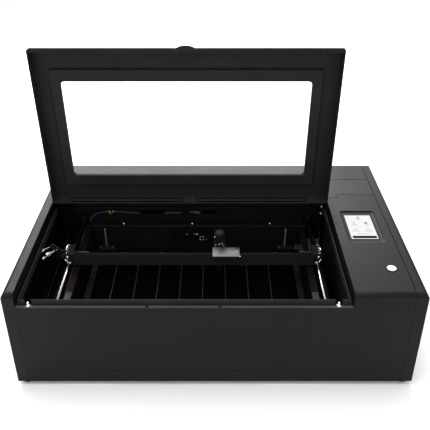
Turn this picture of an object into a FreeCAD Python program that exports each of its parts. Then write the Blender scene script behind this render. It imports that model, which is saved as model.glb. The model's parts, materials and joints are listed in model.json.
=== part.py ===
import FreeCAD, Part
import Sketcher
import math
import os
import re

from FreeCAD import Placement, Rotation, Vector

# Desktop laser cutter.  X to the right, Y to the rear, Z up, millimetres.
# The origin lies under the middle of the whole object, on the surface it stands on.

SIZES = {
    # casing
    "body_width": 930.0, "front_edge": -326.0, "rear_edge": 301.0, "feet_height": 12.0, "body_top": 270.0,
    "skin": 2.0, "edge_round": 12.0, "seam_x": 437.5, "seam": 0.4, "front_top": 234.0, "ledge_depth": 9.0,
    "cover_front": 203.5, "cover_bottom": 140.0, "deck_front": 106.3, "deck_lip": 26.0,
    "console_left": 303.5, "notch_x": 332.6, "notch_y": 95.2, "console_rear": 114.2,
    "gutter_wide": 7.5, "upstand_top": 249.0, "upstand_wall": 2.0, "upstand_front": -316.7,
    "upstand_rear": 74.0, "pan_lip": 14.0,
    "stud_radius": 5.6, "foot_x": 447.0, "foot_inset": 18.0, "foot_radius": 10.5,
    # crumb tray
    "tray_left": -243.0, "tray_right": 117.0, "tray_low": 14.5, "tray_high": 46.0, "tray_depth": 330.0,
    "tray_wall": 1.5, "tray_gap": 0.6,
    # console
    "screen_left": 335.5, "screen_wide": 68.0, "screen_front": -105.0, "screen_long": 113.0, "screen_thick": 1.2,
    "bezel_left": 327.0, "bezel_right": 416.0, "bezel_front": -123.0, "bezel_rear": 28.0, "bezel_deep": 3.0,
    "bezel_round": 10.0, "button_x": 403.7, "button_y": -230.0, "collar_radius": 12.5, "button_radius": 9.3,
    # lid, drawn closed and then turned to its open rest pose
    "lid_left": -436.8, "lid_right": 302.8, "lid_rear": 97.0, "lid_deep": 35.0, "hinge_y": 101.0,
    "hinge_z": 265.8, "lid_angle": 86.0, "window_left": -375.0, "window_right": 236.5, "window_front": -241.0,
    "window_rear": 24.0, "window_round": 10.0, "sheet_over": 24.0, "sheet_reach": 30.0, "window_thick": 3.0,
    "retainer_deep": 3.0, "retainer_wide": 14.0, "tab_x": -68.0, "tab_wide": 42.0, "tab_out": 15.0,
    "knuckle_radius": 3.6, "pin_radius": 2.0, "fit": 0.05,
    # motion frame
    "chamber_mid": -55.5, "beam_half": 305.0, "rail_wide": 17.5, "rail_low": 72.0, "rail_top": 175.0,
    "rail_front": -314.0, "rail_rear": 98.0, "rod_half": 316.0, "rod_radius": 4.0, "rod_z": 180.7,
    "rod_front": -312.0, "rod_rear": 136.0, "belt_half": 326.5, "belt_wide": 6.0, "belt_thick": 1.4,
    "pulley_radius": 6.4, "shaft_y": 129.0, "shaft_z": 160.0, "shaft_radius": 4.0, "idler_y": -296.0,
    "block_half": 10.0, "support_half": 6.2, "y_motor_x": 120.0, "motor_size": 28.0, "motor_long": 40.0,
    # cross beam and head
    "beam_front": -89.0, "beam_deep": 13.0, "beam_low": 178.3, "beam_top": 210.7, "beam_wall": 1.5,
    "x_belt_z": 186.5, "x_belt_y": -75.2, "idler_x": -340.0, "x_motor_x": 217.4, "guide_low": 197.0,
    "guide_high": 207.0, "guide_deep": 7.0, "optic_z": 195.0, "optic_y": -47.6, "mirror_x": -408.0,
    "head_x": 11.7, "plate_left": -6.0, "plate_right": 62.0, "plate_z": 214.0, "plate_thick": 2.5,
    "tip_z": 114.7, "lens_radius": 10.0,
    # bed
    "bed_mid": -53.0, "bed_half": 282.0, "bed_bar": 16.0, "bed_front": -251.0, "bed_rear": 80.0,
    "bed_top": 108.0, "bed_thick": 12.0, "comb_thick": 5.0, "slat_wide": 3.0, "slat_pitch": 59.0, "slat_first": -268.0,
    "screw_half": 253.0, "screw_rear": 92.0, "screw_front": -263.0, "screw_radius": 4.0, "nut_radius": 9.0,
    # chamber back wall
    "wall_y": 104.0, "ledge_z": 176.0, "wall_upper_y": 126.0, "wall_top": 262.0, "sheet": 1.5,
    "return_y": 138.5, "return_low": 110.0, "return_top": 198.7, "beam_hole": 9.0,
    "grille_left": -129.0, "grille_low": 124.0, "grille_hole": 3.0, "grille_pitch": 9.0,
    # services
    "tube_y": 214.0, "tube_radius": 30.0, "tube_left": -365.0, "tube_right": 435.0,
    "fan_x": -65.0, "fan_z": 78.0, "fan_size": 100.0, "fan_front": 146.0, "fan_deep": 38.0,
    "collar_outer": 50.0, "collar_wall": 1.5, "collar_end": 326.0,
    "inlet_x": 385.0, "inlet_z": 55.0,
    "hose_radius": 2.0,
}

doc = FreeCAD.newDocument("laser_cutter")
sheet = doc.addObject("Spreadsheet::Sheet", "dims")
for row, (alias, size) in enumerate(SIZES.items(), 1):
    sheet.set("A%d" % row, alias)
    sheet.set("B%d" % row, str(size))
    sheet.setAlias("B%d" % row, alias)
doc.recompute()

NODES = []


def tied(words):
    """The expression in which every size's name points at its cell."""
    return re.sub(r"[a-z][a-z_]+", lambda word: "dims." + word.group()
                  if word.group() in SIZES else word.group(), str(words))


def value(words):
    """The number that an expression in the sizes stands for, worked out in a spare cell."""
    sheet.set("D1", "=" + str(words))
    sheet.recompute()
    return float(sheet.get("D1"))


def place(thing, low):
    for axis, words in zip("xyz", low):
        thing.setExpression("Placement.Base." + axis, tied(words))
    return thing


def block(low, size):
    """A box from its lowest corner and its three sizes."""
    solid = doc.addObject("Part::Box", "block")
    for side, words in zip(("Length", "Width", "Height"), size):
        solid.setExpression(side, tied(words))
    return place(solid, low)


TURN = {"x": Rotation(Vector(0, 1, 0), 90), "y": Rotation(Vector(1, 0, 0), -90), "z": Rotation()}


def bar(axis, start, radius, length):
    """A round bar that runs from start along an axis."""
    solid = doc.addObject("Part::Cylinder", "bar")
    solid.Placement.Rotation = TURN[axis]
    solid.setExpression("Radius", tied(radius))
    solid.setExpression("Height", tied(length))
    return place(solid, start)


def joined(*pieces):
    if len(pieces) == 1:
        return pieces[0]
    solid = doc.addObject("Part::MultiFuse", "joined")
    solid.Shapes = list(pieces)
    return solid


def cut(base, *tools):
    solid = doc.addObject("Part::Cut", "cut")
    solid.Base = base
    solid.Tool = joined(*tools)
    return solid


def shared(*pieces):
    solid = doc.addObject("Part::MultiCommon", "shared")
    solid.Shapes = list(pieces)
    return solid


def group(*pieces):
    """Separate solids that share one node."""
    solid = doc.addObject("Part::Compound", "group")
    solid.Links = list(pieces)
    return solid


def rounded(solid, radius, chosen):
    """Rounds the edges whose middle point is chosen."""
    doc.recompute()
    edges = [(number, radius, radius) for number, edge in enumerate(solid.Shape.Edges, 1)
             if chosen(edge.CenterOfMass)]
    fillet = doc.addObject("Part::Fillet", "rounded")
    fillet.Base = solid
    fillet.Edges = edges
    return fillet


def upright(solid, radius):
    """Rounds the four upright edges of a box."""
    doc.recompute()
    box = solid.Shape.BoundBox
    return rounded(solid, radius, lambda at: abs(at.z - box.Center.z) < 0.01
                   and min(abs(at.x - box.XMin), abs(at.x - box.XMax)) < 0.01
                   and min(abs(at.y - box.YMin), abs(at.y - box.YMax)) < 0.01)


def sketched(body, plane, outline):
    """A closed outline of straight lines on one of the body's own planes; corners are expressions."""
    doc.recompute()
    sketch = body.newObject("Sketcher::SketchObject", "outline")
    datum = [item for item in body.Origin.OriginFeatures if item.Role == plane][0]
    sketch.AttachmentSupport = [(datum, "")]
    sketch.MapMode = "FlatFace"
    corners = [(value(across), value(up)) for across, up in outline]
    for number, corner in enumerate(corners):
        following = corners[(number + 1) % len(corners)]
        sketch.addGeometry(Part.LineSegment(Vector(*corner, 0), Vector(*following, 0)))
    for number in range(len(corners)):
        sketch.addConstraint(Sketcher.Constraint("Coincident", number, 2, (number + 1) % len(corners), 1))
    for number, words in enumerate(outline):
        for kind, text in zip(("DistanceX", "DistanceY"), words):
            if value(text) == 0:
                line = -2 if kind == "DistanceX" else -1
                sketch.addConstraint(Sketcher.Constraint("PointOnObject", number, 1, line))
                continue
            index = sketch.addConstraint(Sketcher.Constraint(kind, -1, 1, number, 1, value(text)))
            sketch.setExpression("Constraints[%d]" % index, tied(text))
    return sketch


def padded(plane, outline, length, at=(0, 0, 0), reverse=False):
    """A body padded from one outline."""
    body = doc.addObject("PartDesign::Body", "Body")
    sketch = sketched(body, plane, outline)
    pad = body.newObject("PartDesign::Pad", "Pad")
    pad.Profile = sketch
    pad.setExpression("Length", tied(length))
    pad.Reversed = reverse
    return place(body, at)


def turned(outline, at, axis="z"):
    """A body turned about its own upright axis; the outline holds pairs of radius and height."""
    body = doc.addObject("PartDesign::Body", "Body")
    sketch = sketched(body, "XZ_Plane", outline)
    turn = body.newObject("PartDesign::Revolution", "Revolution")
    turn.Profile = sketch
    turn.ReferenceAxis = (sketch, ["V_Axis"])
    turn.Angle = 360.0
    body.Placement.Rotation = TURN[axis]
    return place(body, at)


def node(name, solid):
    solid.Label = name
    NODES.append(solid)
    return solid


# ---------------------------------------------------------------- casing

def casing():
    """The folded sheets: one rounded envelope, hollowed and parted along its seams."""
    whole = block(("-body_width / 2", "front_edge", "feet_height"),
                  ("body_width", "rear_edge - front_edge", "body_top - feet_height"))
    hollow = block(("-body_width / 2 + skin", "front_edge + skin", "feet_height - skin"),
                   ("body_width - 2 * skin", "rear_edge - front_edge - 2 * skin", "body_top - feet_height"))
    outer = rounded(whole, SIZES["edge_round"], lambda at: at.z > SIZES["body_top"] - 0.01)
    inner = rounded(hollow, SIZES["edge_round"] - SIZES["skin"],
                    lambda at: at.z > SIZES["body_top"] - SIZES["skin"] - 0.01)
    shell = cut(outer, inner)
    front_skin = shared(shell, block(("-seam_x + seam / 2", "front_edge - 1", "feet_height"),
                                     ("2 * seam_x - seam", "skin + 1", "front_top - feet_height")))
    front_ledge = block(("-seam_x + seam / 2", "front_edge", "front_top - skin"),
                        ("2 * seam_x - seam", "ledge_depth", "skin"))
    tray_way = block(("tray_left - tray_gap", "front_edge - 1", "tray_low - tray_gap"),
                     ("tray_right - tray_left + 2 * tray_gap", "skin + 2", "tray_high - tray_low + 2 * tray_gap"))
    node("front_panel", cut(joined(front_skin, front_ledge), tray_way))

    for name, low, lip in (("left_end_cap", "-body_width / 2 - 1", "-seam_x - skin - seam / 2"),
                           ("right_end_cap", "seam_x + seam / 2", "seam_x + seam / 2")):
        strip = shared(shell, block((low, "front_edge - 1", "feet_height - 1"),
                                    ("body_width / 2 + 1 - seam_x - seam / 2", "rear_edge - front_edge + 2",
                                     "body_top - feet_height + 2")))
        inner_lip = shared(outer, block((lip, "front_edge", "front_top + seam"),
                                        ("skin", "lid_rear - front_edge", "body_top - front_top - seam")))
        node(name, joined(strip, inner_lip) if name == "left_end_cap" else strip)

    main = block(("console_left + seam / 2", "front_edge - 1", "front_top + seam"),
                 ("seam_x - console_left - seam", "notch_y - front_edge + 1 - seam", "body_top"))
    beside = block(("notch_x + seam / 2", "front_edge - 1", "front_top + seam"),
                   ("seam_x - notch_x - seam", "console_rear - front_edge + 1 - seam", "body_top"))
    side = shared(outer, block(("console_left + seam / 2", "front_edge", "front_top + seam"),
                               ("skin", "notch_y - front_edge - seam", "body_top")))
    opening = upright(block(("bezel_left", "bezel_front", "body_top - skin - 1"),
                            ("bezel_right - bezel_left", "bezel_rear - bezel_front", "skin + 2")),
                      SIZES["bezel_round"])
    button_hole = bar("z", ("button_x", "button_y", "body_top - skin - 1"), "collar_radius - 1", "skin + 2")
    node("console_cover", cut(joined(shared(shell, joined(main, beside)), side), opening, button_hole))

    deck_parts = []
    for low, high, front in (("-seam_x + seam / 2", "console_left", "deck_front"),
                             ("console_left", "notch_x", "notch_y"),
                             ("notch_x", "seam_x - seam / 2", "console_rear")):
        deck_parts.append(block((low, front, "body_top - skin"),
                                (high + " - (" + low + ")", "cover_front - seam - " + front, "skin")))
    deck_parts.append(block(("-seam_x + seam / 2", "deck_front", "body_top - deck_lip"),
                            ("console_left + seam_x - seam", "skin", "deck_lip")))
    node("rear_deck", joined(*deck_parts))

    node("rear_tube_cover", shared(shell, block(("-seam_x + seam / 2", "cover_front", "cover_bottom + seam"),
                                                ("2 * seam_x - seam", "rear_edge", "body_top"))))
    rear_skin = shared(shell, block(("-seam_x + seam / 2", "rear_edge - skin", "feet_height"),
                                    ("2 * seam_x - seam", "skin + 1", "cover_bottom - feet_height")))
    duct_way = bar("y", ("fan_x", "rear_edge - skin - 1", "fan_z"), "collar_outer + 0.4", "skin + 2")
    inlet_way = block(("inlet_x - 15", "rear_edge - skin - 1", "inlet_z - 12"), ("30", "skin + 2", "24"))
    switch_way = block(("inlet_x - 31", "rear_edge - skin - 1", "inlet_z - 12"), ("12", "skin + 2", "24"))
    node("rear_panel", cut(rear_skin, duct_way, inlet_way, switch_way))

    floor = block(("-body_width / 2 + 2 * skin", "front_edge + 2 * skin", "feet_height"),
                  ("body_width - 4 * skin", "rear_edge - front_edge - 4 * skin", "skin"))
    lips = [block(("-body_width / 2 + 2 * skin", "front_edge + 2 * skin", "feet_height"),
                  ("skin", "rear_edge - front_edge - 4 * skin", "pan_lip")),
            block(("body_width / 2 - 3 * skin", "front_edge + 2 * skin", "feet_height"),
                  ("skin", "rear_edge - front_edge - 4 * skin", "pan_lip")),
            block(("-body_width / 2 + 2 * skin", "rear_edge - 3 * skin", "feet_height"),
                  ("body_width - 4 * skin", "skin", "pan_lip"))]
    node("base_pan", joined(floor, *lips))

    feet = []
    for side in ("-", ""):
        for deep in ("front_edge + foot_inset", "rear_edge - foot_inset"):
            feet.append(turned([("0", "0"), ("foot_radius - 1.5", "0"), ("foot_radius", "1.5"),
                                ("foot_radius - 1", "feet_height"), ("0", "feet_height")],
                               (side + "foot_x", deep, "0")))
    node("rubber_feet", group(*feet))


STUDS = ("-410", "272")


def gutter():
    """The drip channel round the lid opening: a floor and an upstand on three sides."""
    left_floor = block(("-seam_x + seam / 2", "upstand_front", "front_top - skin"),
                       ("gutter_wide", "deck_front - 3 - upstand_front", "skin"))
    left_wall = block(("-seam_x + gutter_wide - upstand_wall", "upstand_front", "front_top - skin"),
                      ("upstand_wall", "upstand_rear - upstand_front", "upstand_top - front_top + skin"))
    right_floor = block(("console_left - gutter_wide", "upstand_front", "front_top - skin"),
                        ("gutter_wide - seam", "deck_front - 3 - upstand_front", "skin"))
    right_wall = block(("console_left - gutter_wide", "upstand_front", "front_top - skin"),
                       ("upstand_wall", "upstand_rear - upstand_front", "upstand_top - front_top + skin"))
    front_floor = block(("-seam_x + gutter_wide + seam", "front_edge + 2 * skin", "front_top - 2 * skin - seam"),
                        ("console_left + seam_x - 2 * gutter_wide - 2 * seam",
                         "upstand_front + upstand_wall - front_edge - 2 * skin", "skin"))
    front_wall = block(("-seam_x + gutter_wide + seam", "upstand_front + seam", "front_top - 2 * skin - seam"),
                       ("console_left + seam_x - 2 * gutter_wide - 2 * seam", "upstand_wall - seam",
                        "upstand_top - front_top + 2 * skin + seam"))
    notches = [block((across + " - stud_radius - 2", "upstand_front - 1", "front_top - skin - seam"),
                     ("2 * stud_radius + 4", "upstand_wall + 2", "30")) for across in STUDS]
    node("opening_gutter", group(joined(left_floor, left_wall), joined(right_floor, right_wall),
                                 cut(joined(front_floor, front_wall), *notches)))
    bumpers = [turned([("0", "0"), ("4", "0"), ("4", "0.4"), ("3.5", "0.7"), ("0", "0.7")],
                      (across, "front_edge + 4.2", "front_top")) for across in ("-149", "11")]
    node("lid_bumpers", group(*bumpers))
    studs = [turned([("0", "0"), ("stud_radius", "0"), ("stud_radius", "1.5"), ("stud_radius - 2", "6"),
                     ("stud_radius - 2.4", "11"), ("stud_radius - 3.4", "13"), ("0", "13")],
                    (across, "front_edge + 8", "front_top")) for across in STUDS]
    node("lid_studs", group(*studs))


def tray():
    """The crumb drawer behind its opening in the front panel."""
    face = block(("tray_left", "front_edge", "tray_low"),
                 ("tray_right - tray_left", "skin", "tray_high - tray_low"))
    tub = block(("tray_left + 4", "front_edge", "tray_low"),
                ("tray_right - tray_left - 8", "tray_depth", "tray_high - tray_low - 4"))
    hollow = block(("tray_left + 4 + tray_wall", "front_edge + skin", "tray_low + tray_wall"),
                   ("tray_right - tray_left - 8 - 2 * tray_wall", "tray_depth - skin - tray_wall", "tray_high"))
    node("crumb_tray", joined(face, cut(tub, hollow)))


def console():
    """The touchscreen in its recess and the round push button."""
    node("display_bezel", upright(block(("bezel_left - 4", "bezel_front - 4", "body_top - bezel_deep - 6"),
                                        ("bezel_right - bezel_left + 8", "bezel_rear - bezel_front + 8", "6")),
                                  SIZES["bezel_round"]))
    node("display_glass", block(("screen_left", "screen_front", "body_top - bezel_deep + 0.05"),
                                ("screen_wide", "screen_long", "screen_thick")))
    barrel = bar("z", ("button_x", "button_y", "body_top - 28"), "collar_radius - 1.3", "28.5")
    flange = turned([("0", "0"), ("collar_radius", "0"), ("collar_radius", "1"), ("collar_radius - 1", "2"),
                     ("0", "2")], ("button_x", "button_y", "body_top + 0.1"))
    bore = bar("z", ("button_x", "button_y", "body_top - 22"), "button_radius + 0.2", "40")
    node("button_collar", cut(joined(barrel, flange), bore))
    node("power_button", turned([("0", "0"), ("button_radius", "0"), ("button_radius", "20.5"),
                                 ("button_radius - 1", "21.5"), ("0", "21.5")],
                                ("button_x", "button_y", "body_top - 18.5")))


# ---------------------------------------------------------------- lid

HINGES = ("-407", "-69", "262")


def lid():
    """The lid's pieces are drawn closed, then each is turned about the hinge to the open rest pose."""
    low_x, wide = "lid_left", "lid_right - lid_left"
    whole = block((low_x, "front_edge", "body_top - lid_deep"), (wide, "lid_rear - front_edge", "lid_deep"))
    hollow = block((low_x + " + skin", "front_edge + skin", "body_top - lid_deep - 1"),
                   (wide + " - 2 * skin", "lid_rear - front_edge - 2 * skin", "lid_deep + 1 - skin"))
    front = SIZES["front_edge"]
    outer = rounded(whole, SIZES["edge_round"], lambda at: at.z > SIZES["body_top"] - 0.01
                    and at.y < front + 0.01)
    inner = rounded(hollow, SIZES["edge_round"] - SIZES["skin"],
                    lambda at: at.z > SIZES["body_top"] - SIZES["skin"] - 0.01 and at.y < front + 2.01)
    opening = upright(block(("window_left", "window_front", "body_top - 5"),
                            ("window_right - window_left", "window_rear - window_front", "8")),
                      SIZES["window_round"])
    slots = [block((across + " - 12.5", "lid_rear - skin - 1", "hinge_z - 3.5"), ("25", "skin + 2", "6"))
             for across in HINGES]
    window = upright(block(("window_left - sheet_over", "window_front - sheet_reach",
                            "body_top - skin - window_thick - 0.1"),
                           ("window_right - window_left + 2 * sheet_over",
                            "window_rear - window_front + 2 * sheet_reach", "window_thick")), 6.0)
    under = "body_top - skin - window_thick - 0.2 - retainer_deep"
    strips = []
    for across in ("window_left - sheet_over + 3", "window_right + sheet_over - 3 - retainer_wide"):
        strips.append(block((across, "window_front - sheet_reach + 3", under),
                            ("retainer_wide", "window_rear - window_front + 2 * sheet_reach - 6",
                             "retainer_deep")))
    for along in ("window_front - sheet_reach + 3", "window_rear + sheet_reach - 3 - retainer_wide"):
        strips.append(block(("window_left - sheet_over + 3", along, under),
                            ("window_right - window_left + 2 * sheet_over - 6", "retainer_wide",
                             "retainer_deep")))
    tab_round = bar("z", ("tab_x", "front_edge + 6", "body_top - lid_deep + 0.4"), "tab_wide / 2", "2")
    tab_side = block(("tab_x - tab_wide / 2", "front_edge - 30", "body_top - lid_deep"), ("tab_wide", "37", "3"))
    tab_plate = block(("tab_x - tab_wide / 2", "front_edge + skin + 0.2", "body_top - lid_deep + 0.4"),
                      ("tab_wide", "2", "16"))
    tab_slot = block(("tab_x - tab_wide / 2 - 0.5", "front_edge - 1", "body_top - lid_deep - 1"),
                     ("tab_wide + 1", "skin + 2", "3.7"))
    shell = cut(cut(outer, inner), opening, tab_slot, *slots)
    leaves = []
    for across in HINGES:
        plate = block((across + " - 18", "lid_rear - skin - 2.2", "hinge_z - 26"), ("36", "2", "28"))
        tongue = block((across + " - 11.5", "lid_rear - skin - 2.2", "hinge_z - 2"),
                       ("23", "hinge_y - lid_rear + 2.2", "4"))
        knuckle = bar("x", (across + " - 11.5", "hinge_y", "hinge_z"), "knuckle_radius", "23")
        bore = bar("x", (across + " - 13", "hinge_y", "hinge_z"), "pin_radius + fit", "26")
        leaves.append(cut(joined(plate, tongue, knuckle), bore))
    pieces = {"lid_shell": shell, "lid_window": window, "window_retainer": joined(*strips),
              "lid_pull_tab": joined(shared(tab_round, tab_side), tab_plate),
              "lid_hinge_leaves": group(*leaves)}
    hinge = Vector(0, SIZES["hinge_y"], SIZES["hinge_z"])
    opened = Placement(Vector(), Rotation(Vector(1, 0, 0), -SIZES["lid_angle"]), hinge)
    for name, closed in pieces.items():
        holder = group(closed)
        holder.Placement = opened
        node(name, holder)

    fixed = []
    for across in HINGES:
        pin = bar("x", (across + " - 18", "hinge_y", "hinge_z"), "pin_radius", "36")
        ears = [bar("x", (across + offset, "hinge_y", "hinge_z"), "knuckle_radius", "6")
                for offset in (" - 18", " + 12")]
        leaf = block((across + " - 18", "hinge_y + 3", "hinge_z - 22"), ("36", "2", "22"))
        webs = [block((across + offset, "hinge_y", "hinge_z - 3.6"), ("6", "5", "3.6"))
                for offset in (" - 18", " + 12")]
        relief = bar("x", (across + " - 11.8", "hinge_y", "hinge_z"), "knuckle_radius + 0.3", "23.6")
        fixed.append(joined(pin, cut(joined(leaf, *ears, *webs), relief)))
    node("hinge_brackets", group(*fixed))


# ---------------------------------------------------------------- motion

SIDES = ("-", "+")


def frame_rails():
    """Side beams, guide rods, their supports, belts and the cross shaft at the rear."""
    beams = []
    for side in SIDES:
        low = "chamber_mid - beam_half" if side == "-" else "chamber_mid + beam_half - rail_wide"
        beam = block((low, "rail_front", "rail_low"), ("rail_wide", "rail_rear - rail_front", "rail_top - rail_low"))
        outer = "chamber_mid - beam_half - 26" if side == "-" else "chamber_mid + beam_half - 1"
        pin = bar("x", (outer, "idler_y", "shaft_z"), "pin_radius", "27")
        legs = [block((low, along, "feet_height + skin + 0.2"), ("rail_wide", "30", "rail_low - feet_height"))
                for along in ("rail_front + 10", "rail_rear - 50")]
        beams.append(joined(beam, pin, *legs))
    node("y_rail_beams", group(*beams))
    node("y_rods", group(*[bar("y", ("chamber_mid %s rod_half" % side, "rod_front", "rod_z"), "rod_radius",
                               "rod_rear - rod_front") for side in SIDES]))
    supports = []
    for side in SIDES:
        middle = "chamber_mid %s rod_half" % side
        front = block((middle + " - support_half", "rod_front - 2", "rod_z - 11"), ("2 * support_half", "13", "24"))
        rear = block((middle + " - support_half", "rod_rear - 15", "shaft_z - 8"), ("2 * support_half", "13", "41"))
        way = bar("y", (middle, "rod_front - 0.3", "rod_z"), "rod_radius + fit", "rod_rear - rod_front + 10")
        shaft_way = bar("x", (middle + " - 15", "shaft_y", "shaft_z"), "shaft_radius + fit", "30")
        supports += [cut(front, way), cut(rear, way, shaft_way)]
    node("y_rod_supports", group(*supports))

    shaft = bar("x", ("chamber_mid - belt_half - 5", "shaft_y", "shaft_z"), "shaft_radius", "2 * belt_half + 10")
    wheels = [bar("x", ("chamber_mid %s belt_half - 4" % side, "shaft_y", "shaft_z"), "pulley_radius", "8")
              for side in SIDES]
    node("y_drive_shaft", joined(shaft, *wheels))
    idlers = [cut(bar("x", ("chamber_mid %s belt_half - 4" % side, "idler_y", "shaft_z"), "pulley_radius", "8"),
                  bar("x", ("chamber_mid %s belt_half - 5" % side, "idler_y", "shaft_z"), "pin_radius + fit", "10"))
              for side in SIDES]
    node("y_idler_pulleys", group(*idlers))
    belts = []
    for side in SIDES:
        across = "chamber_mid %s belt_half - belt_wide / 2" % side
        belts.append(belt_loop("x", across, "idler_y", "shaft_y", "shaft_z"))
    node("y_belts", group(*belts))
    motor = block(("y_motor_x - motor_long / 2", "shaft_y - motor_size / 2", "shaft_z - motor_size / 2"),
                  ("motor_long", "motor_size", "motor_size"))
    seat = block(("y_motor_x - motor_long / 2 - 3", "shaft_y - motor_size / 2", "feet_height + skin + 0.2"),
                 ("3", "motor_size", "shaft_z + motor_size / 2 - feet_height - skin - 0.2"))
    way = bar("x", ("y_motor_x - motor_long", "shaft_y", "shaft_z"), "shaft_radius + fit", "2 * motor_long")
    node("y_motor", cut(joined(motor, seat), way))


def belt_loop(axis, across, low, high, middle):
    """A flat toothed belt round two pulleys; axis is the direction of its width."""
    def slab(radius, start, width):
        bottom, tall, long = middle + " - " + radius, "2 * " + radius, high + " - (" + low + ")"
        if axis == "x":
            run = block((start, low, bottom), (width, long, tall))
            ends = [bar("x", (start, along, middle), radius, width) for along in (low, high)]
        else:
            run = block((low, start, bottom), (long, width, tall))
            ends = [bar("y", (along, start, middle), radius, width) for along in (low, high)]
        return joined(run, *ends)
    outside = slab("(pulley_radius + 0.1 + belt_thick)", across, "belt_wide")
    inside = slab("(pulley_radius + 0.1)", across + " - 1", "belt_wide + 2")
    return cut(outside, inside)


def mirror(along, degrees):
    """An upright mirror plate and its disc at the beam's height, facing across the corner of the beam."""
    facing = Rotation(Vector(0, 0, 1), degrees)
    spot = Placement(Vector(SIZES["mirror_x"], SIZES[along], SIZES["optic_z"]), facing)
    plate = doc.addObject("Part::Box", "plate")
    plate.Length, plate.Width, plate.Height = 34.0, 4.0, 34.0
    plate.Placement = spot.multiply(Placement(Vector(-17, 3, -17), Rotation()))
    disc = doc.addObject("Part::Cylinder", "disc")
    disc.Radius, disc.Height = 12.5, 3.2
    disc.Placement = spot.multiply(Placement(Vector(), TURN["y"]))
    return plate, disc


def gantry():
    """The cross beam with its rail, end brackets, second mirror, motor and belt."""
    left, wide = "chamber_mid - beam_half", "2 * beam_half"
    tube = block((left, "beam_front", "beam_low"), (wide, "beam_deep", "beam_top - beam_low"))
    hollow = block((left + " - 1", "beam_front + beam_wall", "beam_low + beam_wall"),
                   (wide + " + 2", "beam_deep - 2 * beam_wall", "beam_top - beam_low - 2 * beam_wall"))
    pin = bar("y", ("idler_x", "beam_front + beam_deep - 1", "x_belt_z"), "pin_radius", "9.5")
    node("x_beam", joined(cut(tube, hollow), pin))
    node("x_rail", block((left + " + 6", "beam_front + beam_deep + 0.1", "guide_low"),
                         (wide + " - 12", "guide_deep", "guide_high - guide_low")))
    ends = []
    for side in SIDES:
        middle = "chamber_mid %s rod_half" % side
        bearing = block((middle + " - block_half", "beam_front + 4", "rod_z - block_half"),
                        ("2 * block_half", "44", "2 * block_half"))
        way = bar("y", (middle, "beam_front - 10", "rod_z"), "rod_radius + fit", "80")
        cap_low = "chamber_mid - rod_half - block_half" if side == "-" else "chamber_mid + beam_half + 0.2"
        cap = block((cap_low, "beam_front + 1", "beam_low + 0.5"),
                    ("rod_half + block_half - beam_half - 0.2", "46", "beam_top - beam_low - 1"))
        ends.append(cut(joined(bearing, cap), way))
    node("gantry_end_brackets", group(*ends))
    mount_base = block(("mirror_x - 14", "optic_y - 12", "optic_z - 22"), ("28", "34", "6"))
    arm = block(("mirror_x", "optic_y + 9", "optic_z - 22"),
                ("chamber_mid - rod_half - block_half - 0.3 - mirror_x", "13", "12"))
    node("gantry_mirror_mount", joined(mount_base, arm, *mirror("optic_y", 135)))
    motor = block(("x_motor_x - motor_size / 2", "beam_front + beam_deep + 10", "x_belt_z - motor_size / 2"),
                  ("motor_size", "motor_long", "motor_size"))
    saddle = block(("x_motor_x + motor_size / 2 - 12", "beam_front + beam_deep + 0.2",
                    "x_belt_z - motor_size / 2"), ("12", "11", "5.5"))
    way = bar("y", ("x_motor_x", "beam_front + beam_deep + 9", "x_belt_z"), "2.5 + fit", "14")
    node("x_motor", cut(joined(motor, saddle), way))
    pulley = bar("y", ("x_motor_x", "x_belt_y - 0.5", "x_belt_z"), "pulley_radius", "belt_wide + 2")
    spindle = bar("y", ("x_motor_x", "x_belt_y", "x_belt_z"), "2.5", "18")
    node("x_drive_pulley", joined(pulley, spindle))
    idler = bar("y", ("idler_x", "x_belt_y - 0.5", "x_belt_z"), "pulley_radius", "belt_wide + 1")
    bore = bar("y", ("idler_x", "x_belt_y - 2", "x_belt_z"), "pin_radius + fit", "belt_wide + 4")
    node("x_idler_pulley", cut(idler, bore))
    node("x_belt", belt_loop("y", "x_belt_y", "idler_x", "x_motor_x", "x_belt_z"))


def head():
    """The carriage, the third mirror and the lens tube with its nozzle."""
    node("carriage_plate", block(("plate_left", "optic_y - 57.4", "plate_z"),
                                 ("plate_right - plate_left", "40", "plate_thick")))
    runner = block(("head_x - 18", "beam_front + beam_deep + 0.6", "guide_low - 2"),
                   ("36", "19", "plate_z - guide_low + 1.7"))
    groove = block(("head_x - 20", "beam_front + beam_deep - 1", "guide_low - 0.4"),
                   ("40", "guide_deep + 1.5", "guide_high - guide_low + 0.8"))
    node("carriage_block", cut(runner, groove))
    body = block(("head_x - 14", "beam_front + beam_deep + 20", "optic_z - 14"), ("28", "36", "32"))
    neck = bar("z", ("head_x", "optic_y", "optic_z + 17"), "8.5", "42")
    way = bar("z", ("head_x", "optic_y", "optic_z - 20"), "lens_radius - 2 + 0.4", "30")
    beam_way = bar("x", ("head_x - 20", "optic_y", "optic_z"), "6", "20")
    node("head_mirror_mount", cut(joined(body, neck), way, beam_way))
    node("lens_tube", turned([("1", "0"), ("2.5", "0"), ("9", "30"), ("lens_radius", "34"), ("lens_radius", "46"),
                              ("lens_radius - 2", "46"), ("lens_radius - 2", "70"), ("6", "70"), ("6", "24"),
                              ("1", "4")],
                             ("head_x", "optic_y", "tip_z")))


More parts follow.
